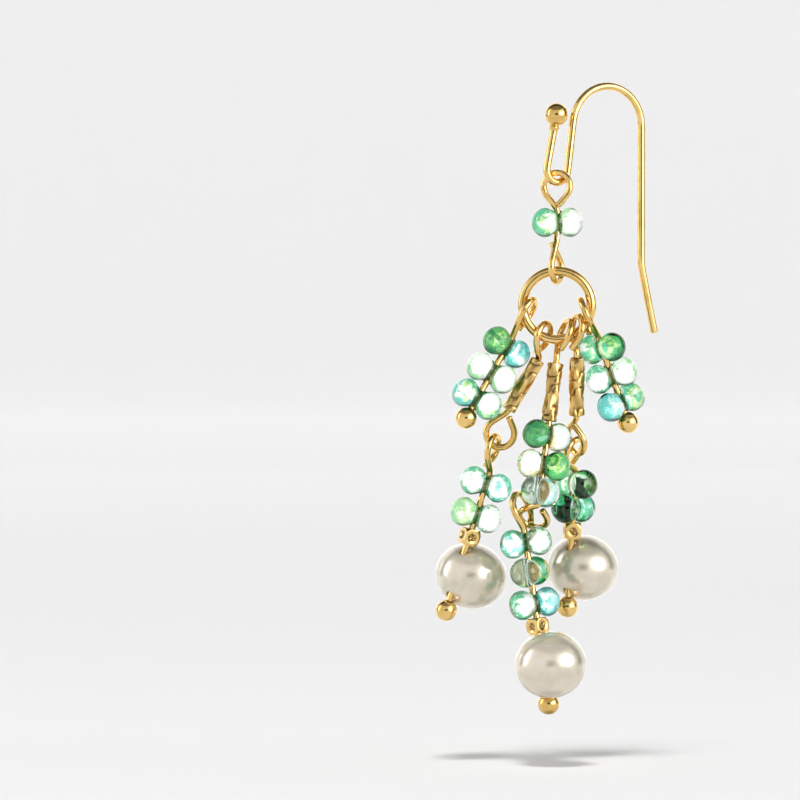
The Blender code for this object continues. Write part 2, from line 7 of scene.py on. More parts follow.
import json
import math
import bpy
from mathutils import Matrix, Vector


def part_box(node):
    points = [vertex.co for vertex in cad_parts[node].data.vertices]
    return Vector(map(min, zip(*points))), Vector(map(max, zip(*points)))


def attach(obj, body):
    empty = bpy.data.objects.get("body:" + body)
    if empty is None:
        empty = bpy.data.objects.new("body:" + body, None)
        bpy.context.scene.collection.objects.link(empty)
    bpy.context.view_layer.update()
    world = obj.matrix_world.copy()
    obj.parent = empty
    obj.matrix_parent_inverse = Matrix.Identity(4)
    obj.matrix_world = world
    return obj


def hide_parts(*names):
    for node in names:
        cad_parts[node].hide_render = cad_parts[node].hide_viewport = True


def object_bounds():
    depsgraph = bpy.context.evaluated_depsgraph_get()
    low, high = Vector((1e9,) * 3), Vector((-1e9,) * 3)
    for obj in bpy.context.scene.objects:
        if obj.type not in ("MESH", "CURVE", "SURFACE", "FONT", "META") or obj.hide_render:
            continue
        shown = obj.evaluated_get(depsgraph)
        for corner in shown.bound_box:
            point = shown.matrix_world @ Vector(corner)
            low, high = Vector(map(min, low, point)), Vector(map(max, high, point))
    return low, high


bl_info = {
    "name": "Chandelier earring",
    "version": (1, 0, 0),
    "blender": (4, 5, 0),
    "location": "3D View > Sidebar > Earring",
    "description": "Builds the finished surfaces of a chandelier earring round its packed solids",
    "category": "Object",
}

from collections import namedtuple

import bpy
import numpy as np
from mathutils import Vector

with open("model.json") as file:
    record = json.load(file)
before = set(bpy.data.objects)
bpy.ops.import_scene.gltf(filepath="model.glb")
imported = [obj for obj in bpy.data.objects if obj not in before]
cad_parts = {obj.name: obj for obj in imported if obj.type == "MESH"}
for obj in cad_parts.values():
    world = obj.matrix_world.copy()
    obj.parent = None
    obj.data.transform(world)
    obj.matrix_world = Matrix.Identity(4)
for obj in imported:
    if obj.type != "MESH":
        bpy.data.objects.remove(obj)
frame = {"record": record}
CAD_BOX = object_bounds()

MM = 0.001
CENTIMETRE = 0.01
TINY = 1e-9
DOWN = np.array((0.0, 0.0, -1.0))
WHITE = (1.0, 1.0, 1.0, 1.0)

# A lean is the angle, in degrees in the front view, by which a pin going down tips to the right, and
# a slant is the angle by which it tips away from the viewer. A turn of 0 shows an eye or a bead
# broadside, and a positive turn brings its left side forward. Necks, lifts and leads are shares of
# the eye's radius. A tuck of 1 or -1 leads an eye's cut end past one side of its throat or the other,
# and a tuck of 0 ends it beside the throat.
RingEye = namedtuple("RingEye", "at lean slant turn lift neck tuck")
LowEye = namedtuple("LowEye", "lean slant turn neck tuck")
DropEye = namedtuple("DropEye", "seat lean slant turn lift neck tuck")
Eye = namedtuple("Eye", "throat axis side neck tuck")
Spot = namedtuple("Spot", "place hole across")

# The eye of each strand on the ring, at an angle counted from the right of the ring
RING_EYES = {
    "left_outer": RingEye(at=-161.0, lean=-31.0, slant=-6.0, turn=72.0, lift=0.61, neck=1.95, tuck=0),
    "left_inner": RingEye(at=-112.5, lean=-12.0, slant=0.0, turn=60.0, lift=0.22, neck=1.47, tuck=1),
    "centre": RingEye(at=-80.5, lean=-20.5, slant=-3.0, turn=-74.0, lift=0.65, neck=1.60, tuck=0),
    "right_inner": RingEye(at=-53.0, lean=-3.0, slant=3.0, turn=-68.0, lift=0.41, neck=1.51, tuck=-1),
    "right_outer": RingEye(at=-21.2, lean=25.5, slant=16.0, turn=86.0, lift=0.68, neck=1.92, tuck=1),
}

# Lean and slant of the straight pin under each of those eyes
UPPER_PINS = {
    "left_outer": (-30.0, -12.0),
    "left_inner": (-30.5, 3.0),
    "centre": (-7.0, -7.0),
    "right_inner": (0.0, 5.0),
    "right_outer": (19.4, 10.0),
}

# Lean and slant of the pin that hangs below each inner strand's tube
LOWER_PINS = {
    "left_inner": (-17.4, 1.0),
    "centre": (8.0, -2.0),
    "right_inner": (-3.4, 2.0),
}

# The eye below each tube
LOW_EYES = {
    "left_inner": LowEye(lean=-18.0, slant=1.0, turn=0.0, neck=1.55, tuck=1),
    "centre": LowEye(lean=-20.0, slant=48.0, turn=0.0, neck=1.55, tuck=0),
    "right_inner": LowEye(lean=0.0, slant=15.0, turn=-50.0, neck=1.55, tuck=1),
}

# The eye that hangs in it, at a seat that is a share of the upper eye's length from its throat
DROP_EYES = {
    "left_inner": DropEye(seat=0.5, lean=-9.0, slant=2.0, turn=66.0, lift=0.10, neck=1.55, tuck=1),
    "centre": DropEye(seat=0.26, lean=9.0, slant=-14.0, turn=60.0, lift=0.6, neck=1.55, tuck=-1),
    "right_inner": DropEye(seat=0.5, lean=3.0, slant=34.0, turn=46.0, lift=0.40, neck=1.55, tuck=1),
}

# Turn of each bead on its pin, from the top down
UPPER_BEADS = {
    "left_outer": (24.0, 0.0, 0.0),
    "left_inner": (),
    "centre": (32.0, 0.0, 66.0),
    "right_inner": (),
    "right_outer": (-42.0, -8.0, 32.0),
}
LOWER_BEADS = {
    "left_inner": (0.0, 12.0),
    "centre": (0.0, 66.0, 22.0),
    "right_inner": (-50.0, 52.0),
}

# Slack between neighbouring beads of the lower pins, as a share of a lobe's diameter
LOWER_SLACK = {"left_inner": 0.07, "centre": 0.10, "right_inner": 0.0}

# Free wire between an inner strand's eye and its tube
TUBE_LEADS = {"left_inner": 0.16, "centre": 0.58, "right_inner": 0.42}

# Turn of each spacer on its pin
SPACER_TURNS = {"left_inner": 24.0, "centre": 44.0, "right_inner": 8.0}

# Offset of each pearl's middle from its drill hole, to the right and away, as shares of its width
PEARL_OFFSETS = {"left_inner": (0.19, 0.27), "centre": (0.10, -0.30), "right_inner": (0.19, 0.28)}

OUTER_STRANDS = ("left_outer", "right_outer")
INNER_STRANDS = ("left_inner", "centre", "right_inner")

# Ear hook, drawn in its own upright plane
HOOK_TURN = 30.0
ARCH_RADIUS = 3.65 * MM
CATCH_RADIUS = 1.10 * MM
CATCH_REACH = 5.30 * MM
CATCH_DEPTH = 7.60 * MM
BALL_REACH = 5.38 * MM
BALL_DEPTH = 2.56 * MM
REAR_LEG = 12.0 * MM
REAR_BEND_RADIUS = 6.0 * MM
REAR_BEND = 13.0
REAR_TAIL = 5.6 * MM

# Clearances between the pieces
REST_GAP = 0.25 * MM
END_GAP = 0.07 * MM
TUCK_REACH = 0.40 * MM
TUCK_SHIFT = 0.65 * MM
THROAT_GAP = 0.27 * MM
LINK_LOW_GAP = 0.52 * MM
BEAD_GAP = 0.06 * MM
PIECE_GAP = 0.08 * MM
GUARD = 0.25 * MM

# Link between the hook and the ring, its necks as shares of the eye's radius
LINK_NECK = 1.55
LINK_LOW_NECK = 2.02
LINK_TURN = -20.0
LINK_TUCK = -1
LINK_LOW_TURN = 65.0
LINK_LOW_TUCK = -1
LINK_BEAD_TURN = 22.0

# Angle at which the ring opens, from its right
RING_SLIT_AT = -62.0

# Studio: a round floor that curves up into a wall, its fineness, the air's light and the camera
FLOOR_RADIUS = 0.95
COVE = 0.30
WALL_TOP = 1.40
FLOOR_MIDDLE = 0.001
BOWL_STEPS = 24
BOWL_TURNS = 96
WORLD_STRENGTH = 0.26
CAMERA_ELEVATION = 2.5
CAMERA_CLIP = 0.01

# Soft boxes: azimuth from the front to the right, elevation, distance, width, height and watts
SOFT_BOXES = (
    ("top_light", -12.0, 74.0, 0.80, 0.16, 0.16, 3.9),
)

# Cards that polished surfaces mirror: the same values, with their glow, and whether glass shows them
CARDS = (
    ("camera_card", 0.0, CAMERA_ELEVATION, 0.80, 0.42, 0.42, 0.0, False),
    ("right_card", 54.0, 14.0, 0.80, 1.00, 0.90, 5.5, False),
    ("left_card", -104.0, 14.0, 0.80, 0.80, 1.00, 6.0, False),
    ("back_card", 180.0, CAMERA_ELEVATION, 0.50, 0.80, 0.80, 1.02, True),
)

# Share of a card over which its glow is full, and the glow at its edge
GLOW_CORE = 0.15
GLOW_EDGE = 0.5
CARD_WHITE = (0.6, 0.6, 0.6)
CARD_BLACK = (0.01, 0.03, 0.015)
CARD_ROUGHNESS = 0.9

# A glowing card on the floor behind the earring, and a dark hoop round the line of sight
LOW_CARD_WIDTH = 1.0
LOW_CARD_DEPTH = 0.7
LOW_CARD_START = 0.02
LOW_CARD_RISE = 0.001
LOW_CARD_GLOW = 0.52
LOW_CARD_SPREAD = 2.0
BAND_RADIUS = 0.30
BAND_FRONT = 0.04
BAND_BACK = 0.17

# Fineness of the surfaces
ARC_STEPS = 64
PATH_STEP = 0.03 * MM
BEND_SPAN = 0.55 * MM
WIRE_STEP = 0.12 * MM
WIRE_SIDES = 24
BALL_ROWS = 28
BODY_COLUMNS = 96
BODY_ROWS = 56
WALL_ROWS = 8
SEARCH_STEPS = 40
SEAT_STEPS = 21
NEAR_STEPS = 12

# Stations and radii of a cut end with a slightly rounded rim, in wire radii
CUT_STATIONS = (0.0, 0.0, 0.04, 0.14, 0.30)
CUT_RADII = (0.0, 0.76, 0.90, 0.975, 1.0)

# Power that blends a ball into its wire
FILLET_POWER = 6

# Drilled bodies: first guess and limit when the hole's edge is sought, and how rows crowd there
FIRST_ANGLE = 0.3
STEEPEST_SINE = 0.95
CROWDING = 0.82
BEAD_RIM = 0.10 * MM
SPACER_RIM = 0.05 * MM
PEARL_RIM = 0.12 * MM

# Slow waves that keep beads and pearls from being perfectly regular, and their share of the size
SWELL = 0.004
BEAD_WAVES = (3.1, 4.3, 5.2)
BEAD_PHASES = (1.0, 2.0, 3.0)
BEAD_PHASE = 0.7
PEARL_WAVES = (2.3, 3.1)
PEARL_PHASE = 1.1

# Spacers: cut of the corners in half widths, sharpness of the edges, dimples and their petals,
# and the reach and top of the painted shade in the dimples
CORNER_REACH = 1.42
EDGE_POWER = 40
DIMPLE_REACH = 0.56
DIMPLE_FADE = 0.035
DIMPLE_DEPTH = 0.05
PETALS = 5
PETAL_REACH = 0.5
PETAL_DEPTH = 0.07
DIMPLE_SHADE_REACH = 0.62
DIMPLE_SHADE_TOP = 0.97

# Tubes: edge, rows, how the cuts fade over the ends, their sway, the winding and depth of the
# flutes and of the notches, and the depth at which the painted shade in the flutes starts
TUBE_EDGE = 0.07 * MM
TUBE_ROWS = 150
TUBE_WALL_ROWS = 10
END_CUT = (1.0, 0.3, 0.0)
TUBE_PHASE = 1.3
SLOW_SWAY = (0.8, 4.2)
FAST_SWAY = (0.5, 9.0)
FLUTE_TURNS = 2.0
FLUTE_TWIST = 2.2
FLUTE_SWAY = 0.35
FLUTE_SHARE = 0.60
NOTCH_TWIST = 5.2
NOTCH_SWAY = 0.9
NOTCH_SHARE = 0.55
NOTCH_POWER = 3
HOLLOW_SHADE_START = 0.30

# Colours that stream through the glass
CLEAR = (0.955, 0.985, 0.950)
MIST = (0.73, 0.90, 0.72)
LIME = (0.38, 0.74, 0.20)
LEAF = (0.14, 0.52, 0.14)
EMERALD = (0.02, 0.32, 0.11)
FOREST = (0.04, 0.25, 0.09)
TEAL = (0.02, 0.32, 0.28)
AQUA = (0.18, 0.72, 0.70)
OLIVE = (0.52, 0.45, 0.10)
SMOKE = (0.48, 0.58, 0.50)
# Painted shade on the hole's wall, olive like the pin seen through the glass
HOLE_SHADE_COLOUR = (0.52, 0.51, 0.32)

# Noises, each with its scale, detail, roughness and distortion
GOLD_CLOUDS = (0.55, 3.0, 0.6)
GOLD_PATCHES = (2.4, 4.0, 0.65, 0.6)
DRAWN_LINES = (3.0, 3.0, 0.7)
GLASS_FLOW = (1.5, 2.0, 0.5, 1.8)
GLASS_VEINS = (2.6, 3.0, 0.6, 2.6)
GLASS_RIPPLE = (1.2, 2.0, 0.5)
NACRE_CLOUDS = (2.1, 4.0, 0.6, 0.8)
NACRE_GRAIN = (14.0, 3.0, 0.6)
PAPER_TOOTH = (900.0, 3.0, 0.6)

# Smooth steps, each with its low and high limit, and its ends where they aren't 0 and 1
PIT_STEP = (0.02, 0.16, 1.0, 0.0)
RUBBED_STEP = (0.52, 0.70)
DEEP_STEP = (0.36, 0.68, 0.0, 0.75)
SIDE_STEP = (-0.12, 0.12)
RIM_STEP = (0.20, 0.50)
HOLE_SHADE_STEP = (0.19, 0.24, 1.0, 0.0)
STREAK_STEP = (-0.02, 0.06)
SPECK_STEP = (0.08, 0.24, 1.0, 0.0)
BLUSH_STEP = (0.40, 0.72)
# The paper's painted glow, by the distance from the earring
PAPER_GLOW_STEP = (0.05, 0.75, 0.0, 0.27)

# Gold: size of the pits, the painted shade in them and their depth, what wear and lines add, and
# the wear of each piece
PIT_SCALE = 5.5
PIT_PAINTED_SHADE = 0.35
PIT_DEPTH = 0.25
PATCH_HEIGHT = 0.35
RUBBED_ROUGHNESS = 0.16
LINE_ROUGHNESS = 0.05
GOLD_BUMP = 0.35
WIRE_LINES = 0.5
WIRE_STRETCH = (9.0, 2.2, 1.0)
CUT_LINES = 0.25
CUT_STRETCH = (2600.0, 2600.0, 700.0)
WIRE_DEPTH = 0.006 * MM
TUBE_DEPTH = 0.02 * MM
SPACER_DEPTH = 0.01 * MM
WEAR = {"Hook gold": 0.5, "Pin gold": 0.6, "Ring gold": 0.4, "Tube gold": 0.7, "Spacer gold": 0.5}

# Glass: where a lobe's middle lies in lobe diameters, and how far streaks and veins reach, each by
# what the rim adds, the limit in bare glass and what a full lobe takes off it
LOBE_PLACE = 0.444
FLOW_REACH = (0.24, 0.90, 0.56)
VEIN_REACH = (0.26, 0.74, 0.24)
SPECK_SCALE = 9.0
SPECK_SHARE = 0.7
# Painted shade at the rim of each lobe: its share and its darker green
RIM_SHADE_SHARE = 0.8
RIM_SHADE_GLASS = (0.50, 0.72, 0.50)
GLASS_IOR = 1.52
GLASS_BUMP = (0.04 * MM, 0.25)

# Nacre: growth lines, what they and the grain add, and its metallic share, which mirrors softly
GROWTH = {"Scale": 5.0, "Distortion": 3.0, "Detail": 2.0}
GROWTH_HEIGHT = 0.06
GRAIN_SHADE = 0.12
GRAIN_ROUGHNESS = 0.05
NACRE_SHEEN = 0.45
NACRE_IOR = 1.55
NACRE_COAT = {"Coat Weight": 0.6, "Coat Roughness": 0.18, "Coat IOR": 1.7}
NACRE_BUMP = (0.03 * MM, 0.12)
NACRE_SHIFT = (2.3, 1.7, 0.9)

# Paper of the floor
TOOTH_SHARE = 0.03
TOOTH_GREY = (0.7, 0.7, 0.7)
PAPER_ROUGHNESS = 0.9
PAPER_GLOSS = 0.1
PAPER_BUMP = (0.02 * MM, 0.1)

# Light and deep colour of each lobe, how much of the lobe they fill, and where the streaks fall
BeadGlass = namedtuple("BeadGlass", "left left_deep left_fill right right_deep right_fill shift")
BEAD_GLASS = {
    "link_bead": BeadGlass(LIME, EMERALD, 0.66, MIST, LEAF, 0.48, (0.0, 0.0, 0.0)),
    "left_outer_bead_1": BeadGlass(LIME, FOREST, 0.90, AQUA, TEAL, 0.56, (1.7, 0.4, 2.2)),
    "left_outer_bead_2": BeadGlass(MIST, LEAF, 0.52, MIST, LEAF, 0.48, (3.1, 5.2, 0.7)),
    "left_outer_bead_3": BeadGlass(LIME, TEAL, 0.70, LIME, EMERALD, 0.58, (0.3, 2.9, 6.1)),
    "right_outer_bead_1": BeadGlass(LEAF, EMERALD, 0.60, LIME, EMERALD, 0.56, (4.4, 1.2, 3.3)),
    "right_outer_bead_2": BeadGlass(MIST, EMERALD, 0.54, MIST, LEAF, 0.44, (2.5, 7.1, 1.9)),
    "right_outer_bead_3": BeadGlass(AQUA, TEAL, 0.66, LIME, EMERALD, 0.62, (6.2, 0.8, 4.5)),
    "left_inner_bead_1": BeadGlass(MIST, EMERALD, 0.58, AQUA, EMERALD, 0.60, (5.6, 3.4, 0.2)),
    "left_inner_bead_2": BeadGlass(LIME, LEAF, 0.66, CLEAR, EMERALD, 0.42, (1.1, 6.3, 5.0)),
    "centre_bead_1": BeadGlass(LEAF, FOREST, 0.98, CLEAR, OLIVE, 0.38, (7.3, 2.2, 1.4)),
    "centre_bead_2": BeadGlass(MIST, OLIVE, 0.46, LIME, EMERALD, 0.94, (0.9, 4.1, 3.8)),
    "centre_bead_3": BeadGlass(CLEAR, SMOKE, 0.46, MIST, AQUA, 0.48, (3.7, 0.6, 7.4)),
    "centre_bead_4": BeadGlass(AQUA, EMERALD, 0.60, MIST, FOREST, 0.54, (2.0, 3.0, 4.0)),
    "centre_bead_5": BeadGlass(CLEAR, MIST, 0.36, OLIVE, EMERALD, 0.74, (5.1, 5.9, 2.6)),
    "centre_bead_6": BeadGlass(MIST, EMERALD, 0.56, AQUA, TEAL, 0.64, (6.9, 1.6, 0.5)),
    "right_inner_bead_1": BeadGlass(LIME, EMERALD, 0.54, LIME, LEAF, 0.56, (4.8, 4.7, 1.1)),
    "right_inner_bead_2": BeadGlass(LEAF, EMERALD, 0.66, AQUA, EMERALD, 0.58, (1.4, 2.7, 6.6)),
}

# Node group names
GOLD_GROUP = "Drawn gold"
GLASS_GROUP = "Marbled glass"
NACRE_GROUP = "Nacre"


def length_setting(name, description, default):
    """A distance that a user may change, in metres."""
    return bpy.props.FloatProperty(name=name, description=description, default=default, min=0.0,
                                   precision=5, subtype="DISTANCE", unit="LENGTH")


def share_setting(name, description, default):
    return bpy.props.FloatProperty(name=name, description=description, default=default, min=0.0,
                                   max=1.0, subtype="FACTOR")


def colour_setting(name, description, default):
    return bpy.props.FloatVectorProperty(name=name, description=description, default=default, min=0.0,
                                         max=1.0, size=3, subtype="COLOR")


class EarringWire(bpy.types.PropertyGroup):
    """Sizes and finish of the wires, their eyes and their balls."""

    hook: length_setting("Hook wire", "Diameter of the ear hook's wire", 0.70 * MM)
    pin: length_setting("Pin wire", "Diameter of the wire of every pin", 0.60 * MM)
    ring: length_setting("Ring wire", "Diameter of the ring's wire", 0.87 * MM)
    ring_outer: length_setting("Ring", "Outer diameter of the ring", 7.10 * MM)
    ring_slit: length_setting("Ring slit", "Width of the slit where the ring opens", 0.14 * MM)
    eye: length_setting("Eye radius", "Radius of an eye, to the middle of its wire", 1.29 * MM)
    ball: length_setting("Ball", "Diameter of the ball at the end of a head pin", 1.95 * MM)
    hook_ball: length_setting("Hook ball", "Diameter of the ball on the ear hook", 2.10 * MM)
    collar: length_setting("Collar", "Height of the solder collar under the hook's ball", 0.15 * MM)
    light: colour_setting("Gold", "Colour of the polished gold", (0.90, 0.62, 0.24))
    deep: colour_setting("Deep gold", "Colour where the gold is deeper", (0.66, 0.42, 0.12))
    # Painted shade: the near-black gold laid into the bottom of cuts and dimples
    hollow: colour_setting("Painted hollow shade", "Colour in the bottom of cuts and dimples", (0.16, 0.08, 0.02))
    roughness: share_setting("Polish", "Roughness of the polished wire", 0.11)


class EarringBeads(bpy.types.PropertyGroup):
    """Sizes and finish of the two-lobed glass beads."""

    lobe: length_setting("Lobe", "Diameter of each lobe", 2.70 * MM)
    spacing: length_setting("Spacing", "Distance between the middles of the lobes", 2.40 * MM)
    end: length_setting("Lobe end", "Distance from a lobe's middle to its tip", 1.20 * MM)
    waist: length_setting("Waist", "Diameter of the waist between the lobes", 1.90 * MM)
    hole: length_setting("Hole", "Diameter of the hole through the waist", 0.90 * MM)
    clear: colour_setting("Clear glass", "Colour of the glass between its streaks", CLEAR)
    # Painted shade on the hole's wall, olive like the pin seen through it
    hole_shade: colour_setting("Hole Shade", "Colour of the hole's wall", HOLE_SHADE_COLOUR)
    roughness: share_setting("Gloss", "Roughness of the glass", 0.02)


class EarringPieces(bpy.types.PropertyGroup):
    """Sizes and finish of the tubes, spacers and pearls."""

    tube_length: length_setting("Tube length", "Length of a fluted tube", 5.30 * MM)
    tube: length_setting("Tube", "Diameter over the crests of a fluted tube", 1.50 * MM)
    flute: length_setting("Flute", "Depth of the cuts round a tube", 0.17 * MM)
    spacer: length_setting("Spacer", "Width of a cornerless cube", 1.50 * MM)
    pearl: length_setting("Pearl", "Width of a pearl", 6.55 * MM)
    pearl_height: length_setting("Pearl height", "Height of a pearl along its hole", 6.00 * MM)
    hole: length_setting("Hole", "Diameter of the hole through tubes, spacers and pearls", 0.84 * MM)
    body: colour_setting("Nacre", "Colour of a pearl's body", (0.80, 0.71, 0.585))
    blush: colour_setting("Blush", "Colour of the clouds under the nacre", (0.66, 0.62, 0.48))
    tube_roughness: share_setting("Tube polish", "Roughness of the tubes' gold", 0.20)
    spacer_roughness: share_setting("Spacer polish", "Roughness of the spacers' gold", 0.16)
    nacre_roughness: share_setting("Lustre", "Roughness of the nacre", 0.20)


class EarringStage(bpy.types.PropertyGroup):
    """Floor, lights and camera."""

    distance: length_setting("Camera distance", "Distance from the camera to the earring", 0.70)
    width: length_setting("View width", "Width of the view at the earring", 72.7 * MM)
    aim_x: bpy.props.FloatProperty(name="Aim across", description="Middle of the view, to the right",
                                   default=-18.8 * MM, precision=5, subtype="DISTANCE", unit="LENGTH")
    aim_z: bpy.props.FloatProperty(name="Aim up", description="Middle of the view, upwards",
                                   default=-28.15 * MM, precision=5, subtype="DISTANCE", unit="LENGTH")
    elevation: bpy.props.FloatProperty(name="Elevation", description="Angle of the camera above level",
                                       default=math.radians(CAMERA_ELEVATION), subtype="ANGLE",
                                       unit="ROTATION")
    floor: bpy.props.FloatProperty(name="Floor", description="Height of the floor",
                                   default=-61.0 * MM, precision=5, subtype="DISTANCE", unit="LENGTH")
    paper: colour_setting("Paper", "Colour of the floor and the wall", (0.80, 0.80, 0.80))


def unit(vector):
    return vector / np.linalg.norm(vector)


def full_turn(count):
    """Even angles round a full turn."""
    return np.linspace(0.0, 2 * np.pi, count, endpoint=False)


def mesh_of(name, points, faces):
    mesh = bpy.data.meshes.new(name)
    mesh.from_pydata(points.tolist(), [], faces)
    return mesh


def down_direction(lean, slant):
    """Unit vector of a pin going down with the given lean and slant."""
    lean = math.radians(lean)
    slant = math.radians(slant)
    across = math.cos(slant)
    return np.array((math.sin(lean) * across, math.sin(slant), -math.cos(lean) * across))


def side_direction(down, turn):
    """Unit vector square to a pin, turned about it from the right of the view to the back."""
    right = unit(np.array((-down[2], 0.0, down[0])))
    back = np.cross(right, down)
    turn = math.radians(turn)
    return right * math.cos(turn) + back * math.sin(turn)


def hook_place(points):
    """Places in the frame of points of the hook's own upright plane, which is turned about Z."""
    turn = math.radians(HOOK_TURN)
    points = np.asarray(points, float)
    x = points[..., 0]
    return np.stack((x * math.cos(turn), x * math.sin(turn), points[..., 1]), axis=-1)


def arc(centre, radius, start, end):
    """Points of an arc in a plane, with its angles in degrees."""
    angles = np.radians(np.linspace(start, end, ARC_STEPS + 1))
    return np.stack((centre[0] + radius * np.cos(angles), centre[1] + radius * np.sin(angles)), axis=-1)


def cross_tangent(centre_a, radius_a, centre_b, radius_b):
    """Angle, in degrees, at which the line that crosses between two circles leaves the first.

    The line runs down with the first circle on its right and the second on its left.
    """
    dx = centre_b[0] - centre_a[0]
    dz = centre_b[1] - centre_a[1]
    spread = math.acos((radius_a + radius_b) / math.hypot(dx, dz))
    return math.degrees(math.atan2(dz, dx) - spread)


def point_tangent(centre, radius, point):
    """Angle, in degrees, at which a line from a point above meets the left of a circle."""
    dx = point[0] - centre[0]
    dz = point[1] - centre[1]
    spread = math.acos(radius / math.hypot(dx, dz))
    return math.degrees(math.atan2(dz, dx) + spread)


def hook_outline(wire):
    """Centreline of the ear hook in its own plane, from its tail to the middle of its ball."""
    top = wire.hook / 2
    arch_centre = (0.0, top - ARCH_RADIUS)
    catch_centre = (-CATCH_REACH, top - CATCH_DEPTH)
    ball = (-BALL_REACH, top - BALL_DEPTH)
    meet = point_tangent(catch_centre, CATCH_RADIUS, ball)
    leave = cross_tangent(arch_centre, ARCH_RADIUS, catch_centre, CATCH_RADIUS) % 360.0
    bend_centre = (ARCH_RADIUS + REAR_BEND_RADIUS, arch_centre[1] - REAR_LEG)
    rear = arc(bend_centre, REAR_BEND_RADIUS, 180.0 + REAR_BEND, 180.0)
    tilt = math.radians(REAR_BEND)
    tail = rear[0] + np.array((math.sin(tilt), -math.cos(tilt))) * REAR_TAIL
    arch = arc(arch_centre, ARCH_RADIUS, 0.0, leave)
    catch = arc(catch_centre, CATCH_RADIUS, leave + 180.0, meet)
    return np.vstack((tail, rear, arch, catch, ball))


def hook_catch(wire):
    """Lowest point of the catch's centreline, where the link hangs."""
    return hook_place((-CATCH_REACH, wire.hook / 2 - CATCH_DEPTH - CATCH_RADIUS))


def rest_distance(wire, other):
    """Distance between the middles of a pin's wire and the wire that it hangs on."""
    return (wire.pin + other) / 2 + REST_GAP


def eye_path(eye, wire):
    """Centreline of an eye: a straight leg from its throat, a circle, and a leg back to its cut end."""
    neck = eye.neck * wire.eye
    half = math.asin(wire.eye / neck)
    centre = eye.throat + eye.axis * neck
    angles = np.linspace(math.pi / 2 - half, 3 * math.pi / 2 + half, ARC_STEPS)[:, None]
    circle = centre - wire.eye * (eye.axis * np.cos(angles) + eye.side * np.sin(angles))
    cut = (wire.pin / 2 * (2 + math.cos(2 * half)) + END_GAP) / math.sin(2 * half)
    end = eye.throat + unit(circle[-1] - eye.throat) * (TUCK_REACH if eye.tuck else cut)
    return tucked(np.vstack((eye.throat, circle, end)), np.cross(eye.axis, eye.side) * eye.tuck)


def tucked(points, aside):
    """The centreline led aside from halfway on, by the square of the share of the way to its end."""
    lengths = distances(points)
    late = np.clip(2 * lengths / lengths[-1] - 1, 0.0, 1.0)
    return points + aside * (TUCK_SHIFT * late ** 2)[:, None]


def eye_length(neck, wire):
    """Distance from an eye's throat to the centreline of its far end."""
    return (neck + 1.0) * wire.eye


def interpolated(stations, along, values):
    """Vectors at the stations, between those that are given along a path."""
    return np.stack([np.interp(stations, along, values[:, k]) for k in range(3)], axis=-1)


def share_along(points, share):
    """Point at a share of the length of a path."""
    along = distances(points)
    return interpolated(share * along[-1], along, points)


def distances(points):
    """Length of a path from its start to each of its points."""
    return np.concatenate(((0.0,), np.cumsum(np.linalg.norm(np.diff(points, axis=0), axis=1))))


def lobe_profile(x, beads):
    """Radius of a bead's outline at a distance from its waist along its two lobes.

    It swells from the waist to the lobe as half a cosine wave and closes as a quarter of an ellipse.
    """
    waist = beads.waist / 2
    lobe = beads.lobe / 2
    middle = beads.spacing / 2
    x = np.abs(x)
    swell = waist + (lobe - waist) * (1 - np.cos(np.pi * x / middle)) / 2
    tip = lobe * np.sqrt(np.clip(1 - ((x - middle) / beads.end) ** 2, 0.0, 1.0))
    return np.where(x <= middle, swell, tip)


def bead_pitch(turn_a, turn_b, beads):
    """Distance along a pin between two beads, which nest closer when one is turned from the other."""
    between = abs(turn_a - turn_b) % 180.0
    between = math.radians(min(between, 180.0 - between))
    apart = beads.spacing * math.sin(between / 2)
    return math.sqrt((beads.lobe + BEAD_GAP) ** 2 - apart ** 2)


def flat_seat(half_width, beads):
    """Distance from a bead's middle to a flat end of the given half width that rests on its lobes."""
    return float(lobe_profile(min(half_width, beads.spacing / 2), beads)) + PIECE_GAP


def ball_seat(radius, beads):
    """Distance from a bead's middle to the middle of a ball between its lobes."""
    steps = np.linspace(0.0, radius, SEAT_STEPS)
    return float(np.max(lobe_profile(steps, beads) + np.sqrt(radius ** 2 - steps ** 2))) + PIECE_GAP


def pearl_seat(offset, reach, roundness, pieces):
    """Distance from a pearl's middle, along its drill hole, to a piece that rests on its end.

    The piece reaches out from the hole by its half width, and its own end is round by its radius.
    """
    steps = np.linspace(0.0, reach, SEAT_STEPS)
    share = np.clip(np.abs(math.hypot(*offset) - steps) / (pieces.pearl / 2), 0.0, 1.0)
    dome = np.sqrt(np.clip(roundness ** 2 - steps ** 2, 0.0, None))
    return float(np.max(pieces.pearl_height / 2 * np.sqrt(1 - share ** 2) + dome)) + PIECE_GAP


def link_spots(wire, beads):
    """The link's upper eye, its lower eye and the place of its bead."""
    drop = eye_length(LINK_NECK, wire) - rest_distance(wire, wire.hook)
    upper_throat = hook_catch(wire) + DOWN * drop
    upper = Eye(upper_throat, -DOWN, side_direction(DOWN, LINK_TURN), LINK_NECK, LINK_TUCK)
    bead = upper_throat + DOWN * (THROAT_GAP + beads.waist / 2)
    lower_throat = bead + DOWN * (beads.waist / 2 + LINK_LOW_GAP)
    lower = Eye(lower_throat, DOWN, side_direction(DOWN, LINK_LOW_TURN), LINK_LOW_NECK, LINK_LOW_TUCK)
    return upper, lower, threaded_spot(bead, DOWN, LINK_BEAD_TURN)


def ring_radius(wire):
    return (wire.ring_outer - wire.ring) / 2


def ring_centre(wire, beads):
    """Middle of the ring, which hangs in the link's lower eye."""
    lower = link_spots(wire, beads)[1]
    drop = eye_length(lower.neck, wire) - rest_distance(wire, wire.ring) + ring_radius(wire)
    return lower.throat + DOWN * drop


